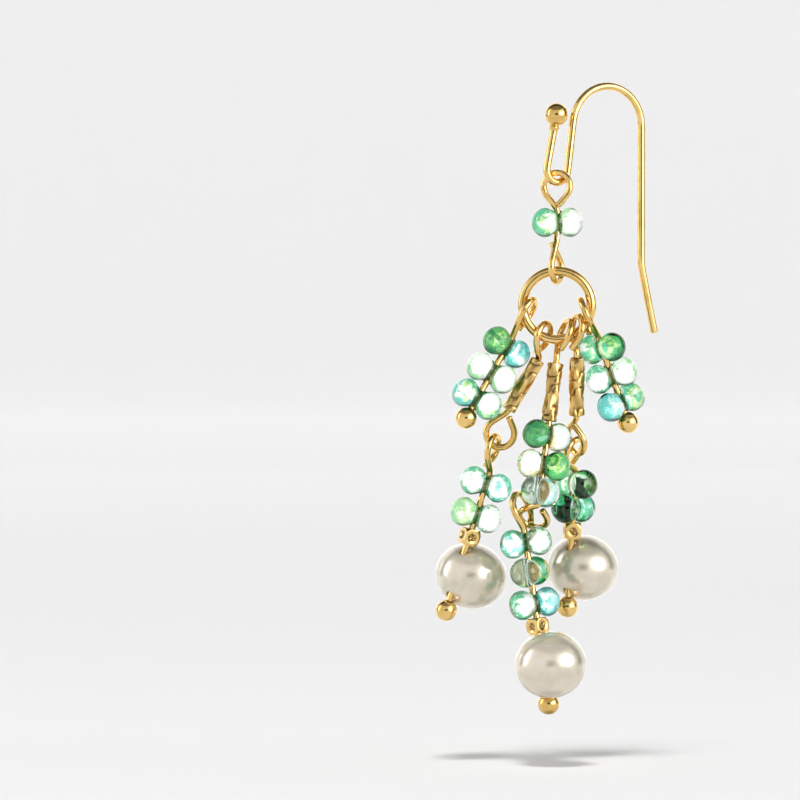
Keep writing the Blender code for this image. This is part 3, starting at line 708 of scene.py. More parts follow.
def ring_points(angles, wire, beads):
    """Points of the ring's centreline at angles in degrees, counted from its right."""
    angles = np.radians(np.asarray(angles, float))
    around = np.stack((np.cos(angles), np.zeros_like(angles), np.sin(angles)), axis=-1)
    return ring_centre(wire, beads) + around * ring_radius(wire)


def turned_eye(row, down, throat, axis):
    """An eye with its throat at a place, turned about its pin, that opens along the axis."""
    return Eye(throat, axis, side_direction(down, row.turn), row.neck, row.tuck)


def hung_eye(row, hold, other, wire):
    """Eye that hangs on a wire of another thickness, held at a place of that wire's centreline."""
    down = down_direction(row.lean, row.slant)
    hang = rest_distance(wire, other) + row.lift * wire.eye
    return turned_eye(row, down, hold + down * (eye_length(row.neck, wire) - hang), -down)


def low_eye(row, throat):
    """Eye at the lower end of an inner strand's first pin."""
    down = down_direction(row.lean, row.slant)
    return turned_eye(row, down, throat, down)


def threaded_spot(place, down, turn=0.0):
    """Place of a piece whose hole runs along the pin."""
    return Spot(place, down, side_direction(down, turn))


def bead_run(prefix, first, place, down, turns, slack, beads, layout):
    """Adds a run of beads down a pin to the layout, and returns the place of the last one."""
    for i, turn in enumerate(turns):
        if i:
            place = place + down * (bead_pitch(turns[i - 1], turn, beads) + slack * beads.lobe)
        layout["beads"][f"{prefix}_bead_{first + i}"] = threaded_spot(place, down, turn)
    return place


def pin_run(upper, lower, wire):
    """Centreline of a pin from its upper eye's cut end down, and the direction square to its bends.

    Below its first eye it ends in a second eye, or at the middle of a ball.
    """
    first = eye_path(upper, wire)[::-1]
    square = np.tile(np.cross(upper.axis, upper.side), (len(first), 1))
    if isinstance(lower, Eye):
        second = eye_path(lower, wire)
        turned = np.cross(lower.side, lower.axis)
        turned = turned if np.dot(turned, square[0]) >= 0.0 else -turned
        return np.vstack((first, second)), np.vstack((square, np.tile(turned, (len(second), 1))))
    return np.vstack((first, lower)), np.vstack((square, square[:1]))


def outer_layout(name, wire, beads, layout):
    """Adds a head pin on the ring, its beads and its ball to the layout."""
    eye = hung_eye(RING_EYES[name], ring_points(RING_EYES[name].at, wire, beads), wire.ring, wire)
    down = down_direction(*UPPER_PINS[name])
    place = eye.throat + down * (THROAT_GAP + beads.waist / 2)
    last = bead_run(name, 1, place, down, UPPER_BEADS[name], 0.0, beads, layout)
    ball = last + down * ball_seat(wire.ball / 2, beads)
    layout["head_pins"][name + "_pin"] = pin_run(eye, ball, wire)


def inner_layout(name, wire, beads, pieces, layout):
    """Adds a tube pin on the ring, and the head pin that hangs in it with all that it carries."""
    eye = hung_eye(RING_EYES[name], ring_points(RING_EYES[name].at, wire, beads), wire.ring, wire)
    down = down_direction(*UPPER_PINS[name])
    place = eye.throat + down * (TUBE_LEADS[name] * wire.eye + pieces.tube_length / 2)
    layout["tubes"][name + "_tube"] = threaded_spot(place, down)
    turns = UPPER_BEADS[name]
    end = place + down * pieces.tube_length / 2
    if turns:
        first = end + down * flat_seat(pieces.tube / 2, beads)
        end = bead_run(name, 1, first, down, turns, 0.0, beads, layout) + down * beads.waist / 2
    low = low_eye(LOW_EYES[name], end + down * THROAT_GAP)
    layout["eye_pins"][name + "_bar_pin"] = pin_run(eye, low, wire)

    row = DROP_EYES[name]
    eye = hung_eye(row, share_along(eye_path(low, wire), row.seat), wire.pin, wire)
    down = down_direction(*LOWER_PINS[name])
    place = eye.throat + down * (THROAT_GAP + beads.waist / 2)
    last = bead_run(name, len(turns) + 1, place, down, LOWER_BEADS[name], LOWER_SLACK[name], beads,
                    layout)
    half = pieces.spacer / 2
    spacer = last + down * (flat_seat(half, beads) + half)
    layout["spacers"][name + "_spacer"] = threaded_spot(spacer, down, SPACER_TURNS[name])
    offset = np.array(PEARL_OFFSETS[name]) * pieces.pearl
    pearl = spacer + down * (half + pearl_seat(offset, half, 0.0, pieces))
    layout["pearls"][name + "_pearl"] = (threaded_spot(pearl, down), offset)
    ball = pearl + down * pearl_seat(offset, wire.ball / 2, wire.ball / 2, pieces)
    layout["head_pins"][name + "_drop_pin"] = pin_run(eye, ball, wire)


def earring_layout(scene):
    """Where every wire, bead, tube, spacer and pearl goes, worked out from the sizes in the settings."""
    wire, beads, pieces = scene.earring_wire, scene.earring_beads, scene.earring_pieces
    layout = {key: {} for key in ("eye_pins", "head_pins", "beads", "tubes", "spacers", "pearls")}
    upper, lower, bead = link_spots(wire, beads)
    layout["eye_pins"]["link_pin"] = pin_run(upper, lower, wire)
    layout["beads"]["link_bead"] = bead
    for name in OUTER_STRANDS:
        outer_layout(name, wire, beads, layout)
    for name in INNER_STRANDS:
        inner_layout(name, wire, beads, pieces, layout)
    return layout


def grid_faces(rows, columns, joined):
    """Quads between neighbouring rows of a grid whose columns close on themselves.

    The rows close on themselves too where they are joined.
    """
    index = np.arange(rows * columns).reshape(rows, columns)
    below = np.roll(index, -1, axis=0)
    if not joined:
        index = index[:-1]
        below = below[:-1]
    corners = (index, np.roll(index, -1, axis=1), np.roll(below, -1, axis=1), below)
    return np.stack(corners, axis=-1).reshape(-1, 4)


def outward(points, faces):
    """The faces turned so that they point out of the body, judged by the sign of its volume."""
    corners = points[faces]
    normals = np.cross(corners[:, 1] - corners[:, 0], corners[:, 2] - corners[:, 0])
    normals += np.cross(corners[:, 2] - corners[:, 0], corners[:, -1] - corners[:, 0])
    volume = np.einsum("ij,ij->", corners.mean(axis=1), normals)
    return faces if volume > 0.0 else faces[:, ::-1]


def torus_mesh(name, grid):
    """Mesh of a grid of points that closes both ways, such as a body with a hole through it."""
    rows, columns = grid.shape[:2]
    points = grid.reshape(-1, 3)
    return mesh_of(name, points, outward(points, grid_faces(rows, columns, True)).tolist())


def rod_mesh(name, grid, along):
    """Mesh of a grid whose first and last rows are single points, with a UV map that runs along it.

    U goes once round each row and V is the length along the rod in centimetres.
    """
    rows, columns = grid.shape[:2]
    points = np.vstack((grid[0, :1], grid[1:-1].reshape(-1, 3), grid[-1, :1]))
    quads = grid_faces(rows - 2, columns, False) + 1
    ring = np.arange(columns)
    after = np.roll(ring, -1)
    last = len(points) - 1
    start = np.stack((np.zeros(columns, int), after + 1, ring + 1), axis=-1)
    end = np.stack((np.full(columns, last), ring + last - columns, after + last - columns), axis=-1)
    flipped = outward(points, quads) is not quads
    faces = [part[:, ::-1] if flipped else part for part in (quads, start, end)]
    mesh = mesh_of(name, points, [face for part in faces for face in part.tolist()])
    turns = np.concatenate(((0.0,), np.tile(ring / columns, rows - 2), (0.0,)))
    lengths = np.concatenate((along[:1], np.repeat(along[1:-1], columns), along[-1:]))
    corners = np.empty(len(mesh.loops), np.int32)
    mesh.loops.foreach_get("vertex_index", corners)
    uv = np.stack((turns[corners], lengths[corners] / CENTIMETRE), axis=-1)
    closing = np.concatenate([closing_corners(part, columns) for part in faces])
    uv[closing, 0] += 1.0
    mesh.uv_layers.new(name="Wire").uv.foreach_set("vector", uv.ravel())
    return mesh


def closing_corners(faces, columns):
    """Which face corners lie on the far side of the seam where the columns close on themselves."""
    turn = (faces - 1) % columns
    crosses = (turn.max(axis=1) - turn.min(axis=1)) > columns // 2
    return (crosses[:, None] & (turn < columns // 2)).ravel()


def smooth_path(points, square):
    """The path in even steps, its corners rounded by a running mean over a short span."""
    along = distances(points)
    steps = np.linspace(0.0, along[-1], int(along[-1] / PATH_STEP) + 2)
    line = interpolated(steps, along, points)
    frames = interpolated(steps, along, square)
    half = int(BEND_SPAN / PATH_STEP / 2)
    lead = np.arange(half, 0, -1)[:, None]
    before = line[0] + (line[0] - line[1]) * lead
    after = line[-1] + (line[-1] - line[-2]) * lead[::-1]
    padded = np.vstack((before, line, after))
    kernel = np.ones(2 * half + 1) / (2 * half + 1)
    line = np.stack([np.convolve(padded[:, k], kernel, "valid") for k in range(3)], axis=-1)
    return line, frames


def swept(name, points, square, stations, radii):
    """A round section carried along a path.

    At each station the section's circle lies square to the path, with its radius, and turns with the
    direction that is square to the path's bends. The first and last radii are nothing.
    """
    line, frames = smooth_path(points, square)
    along = distances(line)
    stations = np.clip(stations, 0.0, along[-1])
    middle = interpolated(stations, along, line)
    tangent = interpolated(stations, along, np.gradient(line, along, axis=0))
    tangent /= np.linalg.norm(tangent, axis=1)[:, None]
    first = interpolated(stations, along, frames)
    first -= tangent * np.einsum("ij,ij->i", first, tangent)[:, None]
    first /= np.linalg.norm(first, axis=1)[:, None]
    second = np.cross(tangent, first)
    angles = full_turn(WIRE_SIDES)
    circle = first[:, None] * np.cos(angles)[:, None] + second[:, None] * np.sin(angles)[:, None]
    return rod_mesh(name, middle[:, None] + circle * radii[:, None, None], stations)


def path_length(points, square):
    return distances(smooth_path(points, square)[0])[-1]


def cut_end(radius):
    """Stations and radii of a cut end whose rim is a little rounded, from its flat face inwards."""
    return np.array(CUT_STATIONS) * radius, np.array(CUT_RADII) * radius


def wire_profile(length, radius):
    """Stations and radii of a wire with two cut ends."""
    stations, radii = cut_end(radius)
    count = max(2, int((length - 2 * stations[-1]) / WIRE_STEP))
    middle = np.linspace(stations[-1], length - stations[-1], count)[1:-1]
    along = np.concatenate((stations, middle, length - stations[::-1]))
    return along, np.concatenate((radii, np.full(len(middle), radius), radii[::-1]))


def headed_profile(length, radius, ball, collar):
    """Stations and radii of a wire with a cut end and a ball round the path's last point.

    The ball's radius follows its circle, a collar is a bell-shaped swelling just before it, and where
    two shapes meet the outline is the larger, with a small fillet.
    """
    stations, radii = cut_end(radius)
    join = length - ball
    count = int((join - stations[-1]) / WIRE_STEP)
    middle = np.linspace(stations[-1], join, count)[1:-1]
    angles = np.linspace(0.0, np.pi, BALL_ROWS)
    head = length - ball * np.cos(angles)
    near = np.linspace(join - 3 * WIRE_STEP, join + WIRE_STEP, NEAR_STEPS)
    along = np.unique(np.concatenate((middle[middle < near[0]], near, head)))
    sphere = np.sqrt(np.clip(ball ** 2 - (along - length) ** 2, 0.0, None))
    shaft = radius + collar * np.exp(-((along - join + collar) / (collar + TINY)) ** 2)
    shaft = np.where(along < length, shaft, 0.0)
    blended = (shaft ** FILLET_POWER + sphere ** FILLET_POWER) ** (1 / FILLET_POWER)
    blended[-1] = 0.0
    return np.concatenate((stations, along)), np.concatenate((radii, blended))


def extended(points, square, distance):
    """The path carried straight on past its last point."""
    tip = points[-1] + unit(points[-1] - points[-2]) * distance
    return np.vstack((points, tip)), np.vstack((square, square[-1:]))


def wire_mesh(name, points, square, diameter):
    """A wire with two cut ends."""
    along, radii = wire_profile(path_length(points, square), diameter / 2)
    return swept(name, points, square, along, radii)


def headed_mesh(name, points, square, diameter, ball, collar):
    """A wire with a ball at its last point."""
    length = path_length(points, square)
    along, radii = headed_profile(length, diameter / 2, ball / 2, collar)
    points, square = extended(points, square, ball / 2)
    return swept(name, points, square, along, radii)


def drilled_grid(reach, hole, rim):
    """Grid of a body with a round hole along its Z, from the reach of its surface in each direction.

    Each column is a half plane through the hole's axis. Its rows run over the outside, at even
    angles that crowd towards the hole, and back through the hole as a straight wall. Within the rim
    the outside falls away as a quarter of a circle.
    """
    turns = full_turn(BODY_COLUMNS)
    across = np.stack((np.cos(turns), np.sin(turns)), axis=-1)

    def directions(angles):
        flat = across[None] * np.sin(angles)[..., None]
        return np.concatenate((flat, np.cos(angles)[..., None]), axis=-1)

    def hole_angle(side):
        angles = np.full(BODY_COLUMNS, FIRST_ANGLE)
        for _ in range(SEARCH_STEPS):
            shown = angles if side > 0 else np.pi - angles
            sine = hole / reach(directions(shown[None]))[0]
            angles = np.arcsin(np.clip(sine, 0.0, STEEPEST_SINE))
        return angles

    share = np.linspace(0.0, 1.0, BODY_ROWS)
    share = share - CROWDING * np.sin(2 * np.pi * share) / (2 * np.pi)
    start = hole_angle(1)
    end = np.pi - hole_angle(-1)
    angles = start + (end - start) * share[:, None]
    outward_way = directions(angles)
    outer = outward_way * reach(outward_way)[..., None]
    beside = np.hypot(outer[..., 0], outer[..., 1])
    inside = np.clip(hole + rim - beside, 0.0, rim)
    outer[..., 2] -= np.sign(outer[..., 2]) * (rim - np.sqrt(rim ** 2 - inside ** 2))
    down = np.linspace(0.0, 1.0, WALL_ROWS + 2)[1:-1, None, None]
    wall = outer[-1] + (outer[0] - outer[-1]) * down
    return np.concatenate((outer, wall), axis=0)


def bead_grid(beads, phase):
    """Two lobes along X, drilled along Z.

    In each direction the surface is where the distance from X equals the profile's radius, found by
    halving. Three slow waves keep it from being perfectly regular.
    """
    def reach(way):
        low = np.zeros(way.shape[:-1])
        high = np.full(way.shape[:-1], beads.spacing)
        beside = np.hypot(way[..., 1], way[..., 2])
        for _ in range(SEARCH_STEPS):
            middle = (low + high) / 2
            outside = middle * beside >= lobe_profile(middle * way[..., 0], beads)
            high = np.where(outside, middle, high)
            low = np.where(outside, low, middle)
        waves = np.sin(way * BEAD_WAVES + phase * np.array(BEAD_PHASES))
        return low * (1.0 + SWELL * waves.sum(axis=-1))

    return drilled_grid(reach, beads.hole / 2, BEAD_RIM)


def spacer_grid(pieces):
    """A cube with its corners cut off, drilled along Z, with a coined dimple on each side face.

    The reach is the smallest of its planes' reaches, blended by a high power so that its edges are
    rounded. The dimple is a shallow disc crossed by a five-petalled wave.
    """
    half = pieces.spacer / 2
    signs = np.array([(x, y, z) for x in (-1, 1) for y in (-1, 1) for z in (-1, 1)], float)
    planes = np.vstack((np.eye(3), -np.eye(3), signs / math.sqrt(3)))
    depths = half * np.where(np.arange(len(planes)) < 6, 1.0, CORNER_REACH)

    def reach(way):
        nearness = np.clip(way @ planes.T / depths, 0.0, None)
        solid = np.sum(nearness ** EDGE_POWER, axis=-1) ** (-1 / EDGE_POWER)
        point = way * solid[..., None] / half
        flat = np.sort(np.abs(point[..., :2]), axis=-1)
        centre_distance = np.hypot(flat[..., 0], point[..., 2])
        petals = np.cos(PETALS * np.arctan2(point[..., 2], flat[..., 0]))
        dish = 1 / (1 + np.exp((centre_distance - DIMPLE_REACH) / DIMPLE_FADE))
        swirl = (1 + petals * np.sin(np.pi * np.clip(centre_distance / PETAL_REACH, 0.0, 1.0))) / 2
        return solid * (1.0 - dish * (DIMPLE_DEPTH + PETAL_DEPTH * swirl))

    return drilled_grid(reach, pieces.hole / 2, SPACER_RIM)


def pearl_grid(pieces, offset, phase):
    """A slightly flattened ball drilled along Z beside its middle.

    The reach solves the ellipsoid's equation from a point on the hole's axis. Two slow waves give
    it the gentle swell of a grown pearl.
    """
    half = np.array((pieces.pearl, pieces.pearl, pieces.pearl_height)) / 2
    start = np.array((offset[0], offset[1], 0.0)) / half

    def reach(way):
        slope = way / half
        a = np.sum(slope ** 2, axis=-1)
        b = -slope @ start
        c = start @ start - 1.0
        solid = (-b + np.sqrt(b ** 2 - a * c)) / a
        waves = np.sin(PEARL_WAVES[0] * way[..., 0] + phase) + np.sin(PEARL_WAVES[1] * way[..., 2] - phase)
        return solid * (1.0 + SWELL * waves)

    return drilled_grid(reach, pieces.hole / 2, PEARL_RIM)


def tube_grid(pieces, phase):
    """A tube cut by winding flutes and by notches across them, drilled along Z.

    Its radius is the crest's less two waves. The flutes are hollow, with a sharp ridge wherever
    their wave passes nothing. The notches wind against them, unevenly, and are sharp in the bottom.
    """
    half = pieces.tube_length / 2
    crest = pieces.tube / 2
    hole = pieces.hole / 2
    ends = (crest - TUBE_EDGE, (crest + hole) / 2, hole)
    outside = np.linspace(-half + TUBE_EDGE, half - TUBE_EDGE, TUBE_ROWS)
    inside = np.linspace(half, -half, TUBE_WALL_ROWS + 2)[1:-1]
    heights = np.concatenate((outside, (half,) * 3, inside, (-half,) * 3))
    walls = np.concatenate((np.full(TUBE_ROWS, crest), ends, np.full(TUBE_WALL_ROWS, hole), ends[::-1]))
    cut = np.concatenate((np.ones(TUBE_ROWS), END_CUT, np.zeros(TUBE_WALL_ROWS), END_CUT[::-1]))
    turns = full_turn(BODY_COLUMNS)[None]
    level = (heights / half)[:, None]
    sway = (SLOW_SWAY[0] * np.sin(SLOW_SWAY[1] * level + phase)
            + FAST_SWAY[0] * np.sin(FAST_SWAY[1] * level + 2 * turns + 2 * phase))
    flute = np.abs(np.sin(FLUTE_TURNS * turns + FLUTE_TWIST * level + FLUTE_SWAY * sway + phase))
    notch = 1 - np.abs(np.sin(turns - NOTCH_TWIST * level + NOTCH_SWAY * sway - phase))
    depth = pieces.flute * (FLUTE_SHARE * flute + NOTCH_SHARE * notch ** NOTCH_POWER)
    radius = walls[:, None] - cut[:, None] * depth
    height = np.broadcast_to(heights[:, None], radius.shape)
    return np.stack((radius * np.cos(turns), radius * np.sin(turns), height), axis=-1)


def placed(grid, spot, hole_axis):
    """The grid turned so that its X lies across the pin and its Z runs along the hole, and moved.

    A bead's Z runs down the pin, and that of a tube, spacer or pearl runs up.
    """
    z_axis = spot.hole * hole_axis
    axes = np.stack((spot.across, np.cross(z_axis, spot.across), z_axis))
    return grid @ axes + spot.place


def store(mesh, name, values):
    """Stores a number or a vector for each point of a mesh, which its material reads by the name."""
    values = values.astype(np.float32)
    kind, key = ("FLOAT_VECTOR", "vector") if values.ndim > 1 else ("FLOAT", "value")
    mesh.attributes.new(name, kind, "POINT").data.foreach_set(key, values.ravel())


def store_place(mesh, grid, scale):
    """Stores each point's place in the piece's own axes, in units of the scale."""
    store(mesh, "own_place", grid.reshape(-1, 3) / scale)


def store_hollow_shade(mesh, hollow):
    """Stores how deep each point lies in a cut or a dimple, where the gold gets painted shade."""
    store(mesh, "hollow", np.clip(hollow, 0.0, 1.0).ravel())


def tube_hollow_shade(grid, pieces):
    """The depth below a tube's crest, as a share of its flutes' depth, which sets the painted shade."""
    depth = pieces.tube / 2 - np.hypot(grid[..., 0], grid[..., 1])
    return (depth / pieces.flute - HOLLOW_SHADE_START) / (1 - HOLLOW_SHADE_START)


def spacer_hollow_shade(grid, pieces):
    """The depth of a spacer's dimples, on its side faces alone, which sets the painted shade."""
    half = pieces.spacer / 2
    sides = np.sort(np.abs(grid[..., :2]), axis=-1) / half
    near = np.hypot(sides[..., 0], grid[..., 2] / half) < DIMPLE_SHADE_REACH
    return np.where(near, (DIMPLE_SHADE_TOP - sides[..., 1]) / PETAL_DEPTH, 0.0)


def node_body(node):
    """The body that a node rides on."""
    for body, members in frame["record"]["behaviour"]["bodies"].items():
        if node in members:
            return body
    raise RuntimeError(f"no body holds {node}")


def finish_piece(mesh, material, node):
    """Makes the mesh a shown piece that stands for its node, after checking that it lies where that is."""
    mesh.shade_smooth()
    mesh.materials.append(material)
    points = np.empty(len(mesh.vertices) * 3)
    mesh.vertices.foreach_get("co", points)
    points = points.reshape(-1, 3)
    low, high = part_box(node)
    if np.abs(np.concatenate((points.min(0) - low, points.max(0) - high))).max() > GUARD:
        raise RuntimeError(f"{mesh.name} doesn't lie where {node} is")
    piece = bpy.data.objects.new(mesh.name, mesh)
    bpy.context.scene.collection.objects.link(piece)
    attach(piece, node_body(node))
    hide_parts(node)


def node_group(name, inputs, outputs):
    """A shader node group with the named sockets. Returns its tree, its inputs and its end node."""
    group = bpy.data.node_groups.new(name, "ShaderNodeTree")
    for way, sockets in (("INPUT", inputs), ("OUTPUT", outputs)):
        for label, kind in sockets.items():
            group.interface.new_socket(label, in_out=way, socket_type="NodeSocket" + kind)
    return group, group.nodes.new("NodeGroupInput").outputs, group.nodes.new("NodeGroupOutput")


def add_node(tree, kind, **settings):
    node = tree.nodes.new("ShaderNode" + kind)
    for key, value in settings.items():
        setattr(node, key, value)
    return node


def feed(tree, node, values):
    """Sets a node's inputs by name or number, from a socket, a number or a colour."""
    for key, value in values.items():
        if isinstance(value, bpy.types.NodeSocket):
            tree.links.new(value, node.inputs[key])
        else:
            node.inputs[key].default_value = value


def noise(tree, vector, scale, detail=2.0, roughness=0.5, distortion=0.0):
    node = add_node(tree, "TexNoise")
    feed(tree, node, {"Vector": vector, "Scale": scale, "Detail": detail, "Roughness": roughness,
                      "Distortion": distortion})
    return node.outputs["Fac"]


def maths(tree, operation, first, second=0.5):
    node = add_node(tree, "Math", operation=operation)
    feed(tree, node, {0: first, 1: second})
    return node.outputs[0]


def plus(tree, first, second):
    return maths(tree, "ADD", first, second)


def less(tree, first, second):
    return maths(tree, "SUBTRACT", first, second)


def times(tree, first, second):
    return maths(tree, "MULTIPLY", first, second)


def vector_maths(tree, operation, first, second):
    node = add_node(tree, "VectorMath", operation=operation)
    feed(tree, node, {0: first, ("Scale" if operation == "SCALE" else 1): second})
    return node.outputs[0]


def vector_of(tree, x, y, z):
    node = add_node(tree, "CombineXYZ")
    feed(tree, node, {0: x, 1: y, 2: z})
    return node.outputs[0]


def vector_length(tree, vector):
    node = add_node(tree, "VectorMath", operation="LENGTH")
    feed(tree, node, {0: vector})
    return node.outputs["Value"]


def cells(tree, vector, scale):
    """Distance to the nearest of many scattered points."""
    node = add_node(tree, "TexVoronoi", feature="F1")
    feed(tree, node, {"Vector": vector, "Scale": scale, "Randomness": 1.0})
    return node.outputs["Distance"]


def ramp(tree, value, low, high, to_low=0.0, to_high=1.0):
    """A smooth step of the value between two limits."""
    node = add_node(tree, "MapRange", interpolation_type="SMOOTHSTEP")
    feed(tree, node, {"Value": value, "From Min": low, "From Max": high, "To Min": to_low,
                      "To Max": to_high})
    return node.outputs[0]


def blend(tree, share, first, second):
    """A mix of two colours."""
    node = add_node(tree, "Mix", data_type="RGBA")
    feed(tree, node, {"Factor": share, 6: first, 7: second})
    return node.outputs[2]


def blend_value(tree, share, first, second):
    """A mix of two numbers."""
    node = add_node(tree, "Mix", data_type="FLOAT")
    feed(tree, node, {"Factor": share, 2: first, 3: second})
    return node.outputs[0]


def opaque(colour):
    return (colour[0], colour[1], colour[2], 1.0)


def build_gold_group():
    """Polished gold plate: slow clouds of deeper gold, fine drawing lines, pits with painted shade and
    rubbed patches.

    Place is in metres. Draw is a place whose third part runs along the drawing lines.
    """
    tree, sizes, end = node_group(
        GOLD_GROUP,
        {"Place": "Vector", "Draw": "Vector", "Light": "Color", "Deep": "Color", "Polish": "Float",
         "Wear": "Float", "Lines": "Float"},
        {"Colour": "Color", "Roughness": "Float", "Height": "Float"})
    place = vector_maths(tree, "SCALE", sizes["Place"], 1 / MM)
    clouds = noise(tree, place, *GOLD_CLOUDS)
    patches = noise(tree, place, *GOLD_PATCHES)
    pit = ramp(tree, cells(tree, place, PIT_SCALE), *PIT_STEP)
    lines = noise(tree, sizes["Draw"], *DRAWN_LINES)
    rubbed = times(tree, ramp(tree, patches, *RUBBED_STEP), sizes["Wear"])
    # The pits add painted shade to the slow clouds of deeper gold
    shade = plus(tree, ramp(tree, clouds, *DEEP_STEP), times(tree, pit, PIT_PAINTED_SHADE))
    colour = blend(tree, shade, sizes["Light"], sizes["Deep"])
    rough = plus(tree, sizes["Polish"], times(tree, rubbed, RUBBED_ROUGHNESS))
    rough = plus(tree, rough, times(tree, lines, LINE_ROUGHNESS))
    raised = plus(tree, times(tree, lines, sizes["Lines"]), times(tree, patches, PATCH_HEIGHT))
    height = less(tree, raised, times(tree, pit, PIT_DEPTH))
    feed(tree, end, {"Colour": colour, "Roughness": rough, "Height": height})


def reaching(tree, pattern, rim, fill, reach):
    """Where a pattern, raised towards the rim, passes a limit that falls as the lobe's fill grows."""
    at_rim, bare, full = reach
    raised = plus(tree, pattern, times(tree, rim, at_rim))
    return ramp(tree, less(tree, raised, less(tree, bare, times(tree, fill, full))), *STREAK_STEP)


def build_glass_group():
    """Clear glass with streaks of colour drawn round the rim of each of a bead's two lobes.

    Place is in lobe diameters, with its first part along the lobes and its third along the hole. The
    nearer the rim, the more of the glass is coloured, and the fills say how far in each lobe's colour
    reaches. Deep veins and specks run inside the light streaks. Towards the rim the clear glass takes
    a painted shade of darker green, and the hole's wall a painted shade of olive, like the pin seen
    through it.
    """
    tree, sizes, end = node_group(
        GLASS_GROUP,
        {"Place": "Vector", "Shift": "Vector", "Clear": "Color", "Hole Shade": "Color", "Left": "Color",
         "Left Deep": "Color", "Right": "Color", "Right Deep": "Color", "Left Fill": "Float",
         "Right Fill": "Float"},
        {"Colour": "Color", "Height": "Float"})
    parts = add_node(tree, "SeparateXYZ")
    feed(tree, parts, {0: sizes["Place"]})
    x, y, z = parts.outputs
    side = ramp(tree, x, *SIDE_STEP)
    light = blend(tree, side, sizes["Left"], sizes["Right"])
    deep = blend(tree, side, sizes["Left Deep"], sizes["Right Deep"])
    fill = blend_value(tree, side, sizes["Left Fill"], sizes["Right Fill"])

    along = less(tree, maths(tree, "ABSOLUTE", x), LOBE_PLACE)
    rim = ramp(tree, vector_length(tree, vector_of(tree, along, 0.0, z)), *RIM_STEP)
    hole_shade_mask = ramp(tree, vector_length(tree, vector_of(tree, x, y, 0.0)), *HOLE_SHADE_STEP)

    shifted = vector_maths(tree, "ADD", sizes["Place"], sizes["Shift"])
    streak = reaching(tree, noise(tree, shifted, *GLASS_FLOW), rim, fill, FLOW_REACH)
    vein = reaching(tree, noise(tree, shifted, *GLASS_VEINS), rim, fill, VEIN_REACH)
    speck = ramp(tree, cells(tree, shifted, SPECK_SCALE), *SPECK_STEP)
    speck = times(tree, speck, times(tree, streak, SPECK_SHARE))
    dark = maths(tree, "MAXIMUM", times(tree, vein, streak), speck)
    # Painted shade: the clear glass deepens to a darker green towards each lobe's rim
    shaded = blend(tree, times(tree, rim, RIM_SHADE_SHARE), sizes["Clear"], opaque(RIM_SHADE_GLASS))
    colour = blend(tree, streak, shaded, light)
    colour = blend(tree, dark, colour, deep)
    # Painted shade on the hole's wall, olive like the pin seen through it
    colour = blend(tree, hole_shade_mask, colour, sizes["Hole Shade"])
    feed(tree, end, {"Colour": colour, "Height": noise(tree, shifted, *GLASS_RIPPLE)})


def build_nacre_group():
    """Pearl nacre: clouds of a warmer shade under the body colour, faint growth lines and dimples."""
    tree, sizes, end = node_group(
        NACRE_GROUP,
        {"Place": "Vector", "Shift": "Vector", "Body": "Color", "Blush": "Color", "Lustre": "Float"},
        {"Colour": "Color", "Roughness": "Float", "Height": "Float"})
    shifted = vector_maths(tree, "ADD", sizes["Place"], sizes["Shift"])
    clouds = noise(tree, shifted, *NACRE_CLOUDS)
    grain = noise(tree, shifted, *NACRE_GRAIN)
    growth = add_node(tree, "TexWave", wave_type="RINGS", rings_direction="Z", wave_profile="SIN")
    feed(tree, growth, {"Vector": shifted, **GROWTH})
    shade = plus(tree, ramp(tree, clouds, *BLUSH_STEP), times(tree, grain, GRAIN_SHADE))
    colour = blend(tree, shade, sizes["Body"], sizes["Blush"])
    rough = plus(tree, sizes["Lustre"], times(tree, grain, GRAIN_ROUGHNESS))
    height = plus(tree, clouds, times(tree, growth.outputs["Fac"], GROWTH_HEIGHT))
    feed(tree, end, {"Colour": colour, "Roughness": rough, "Height": height})


def new_material(name):
    """A material with its node tree and its shader."""
    material = bpy.data.materials.new(name)
    material.use_nodes = True
    return material, material.node_tree, material.node_tree.nodes["Principled BSDF"]


def grouped(tree, name, values):
    """A node group placed in a material with its own values. Returns its outputs."""
    node = add_node(tree, "Group", node_tree=bpy.data.node_groups[name])
    feed(tree, node, values)
    return node.outputs


def bump(tree, shader, height, distance, strength):
    """Feeds a height into the shader's normal."""
    node = add_node(tree, "Bump")
    feed(tree, node, {"Height": height, "Distance": distance, "Strength": strength})
    feed(tree, shader, {"Normal": node.outputs["Normal"]})


def gold_material(name, polish, depth, drawn=False):
    """Gold for a wire, whose drawing lines follow its UV map, or for a cut piece, whose don't.

    A cut piece gets painted shade where its hollow attribute says.
    """
    wire = bpy.context.scene.earring_wire
    material, tree, shader = new_material(name)
    coordinates = add_node(tree, "TexCoord")
    mapping = add_node(tree, "Mapping")
    feed(tree, mapping, {"Vector": coordinates.outputs["UV" if drawn else "Object"],
                         "Scale": WIRE_STRETCH if drawn else CUT_STRETCH})
    gold = grouped(tree, GOLD_GROUP, {
        "Place": coordinates.outputs["Object"], "Draw": mapping.outputs["Vector"],
        "Light": opaque(wire.light), "Deep": opaque(wire.deep), "Polish": polish, "Wear": WEAR[name],
        "Lines": WIRE_LINES if drawn else CUT_LINES})
    colour = gold["Colour"]
    if not drawn:
        # Painted shade: cuts and dimples darken towards near-black gold
        hollow = add_node(tree, "Attribute", attribute_name="hollow")
        colour = blend(tree, hollow.outputs["Fac"], colour, opaque(wire.hollow))
    feed(tree, shader, {"Base Color": colour, "Roughness": gold["Roughness"], "Metallic": 1.0})
    bump(tree, shader, gold["Height"], depth, GOLD_BUMP)
    return material


def wire_gold(name):
    return gold_material(name, bpy.context.scene.earring_wire.roughness, WIRE_DEPTH, drawn=True)


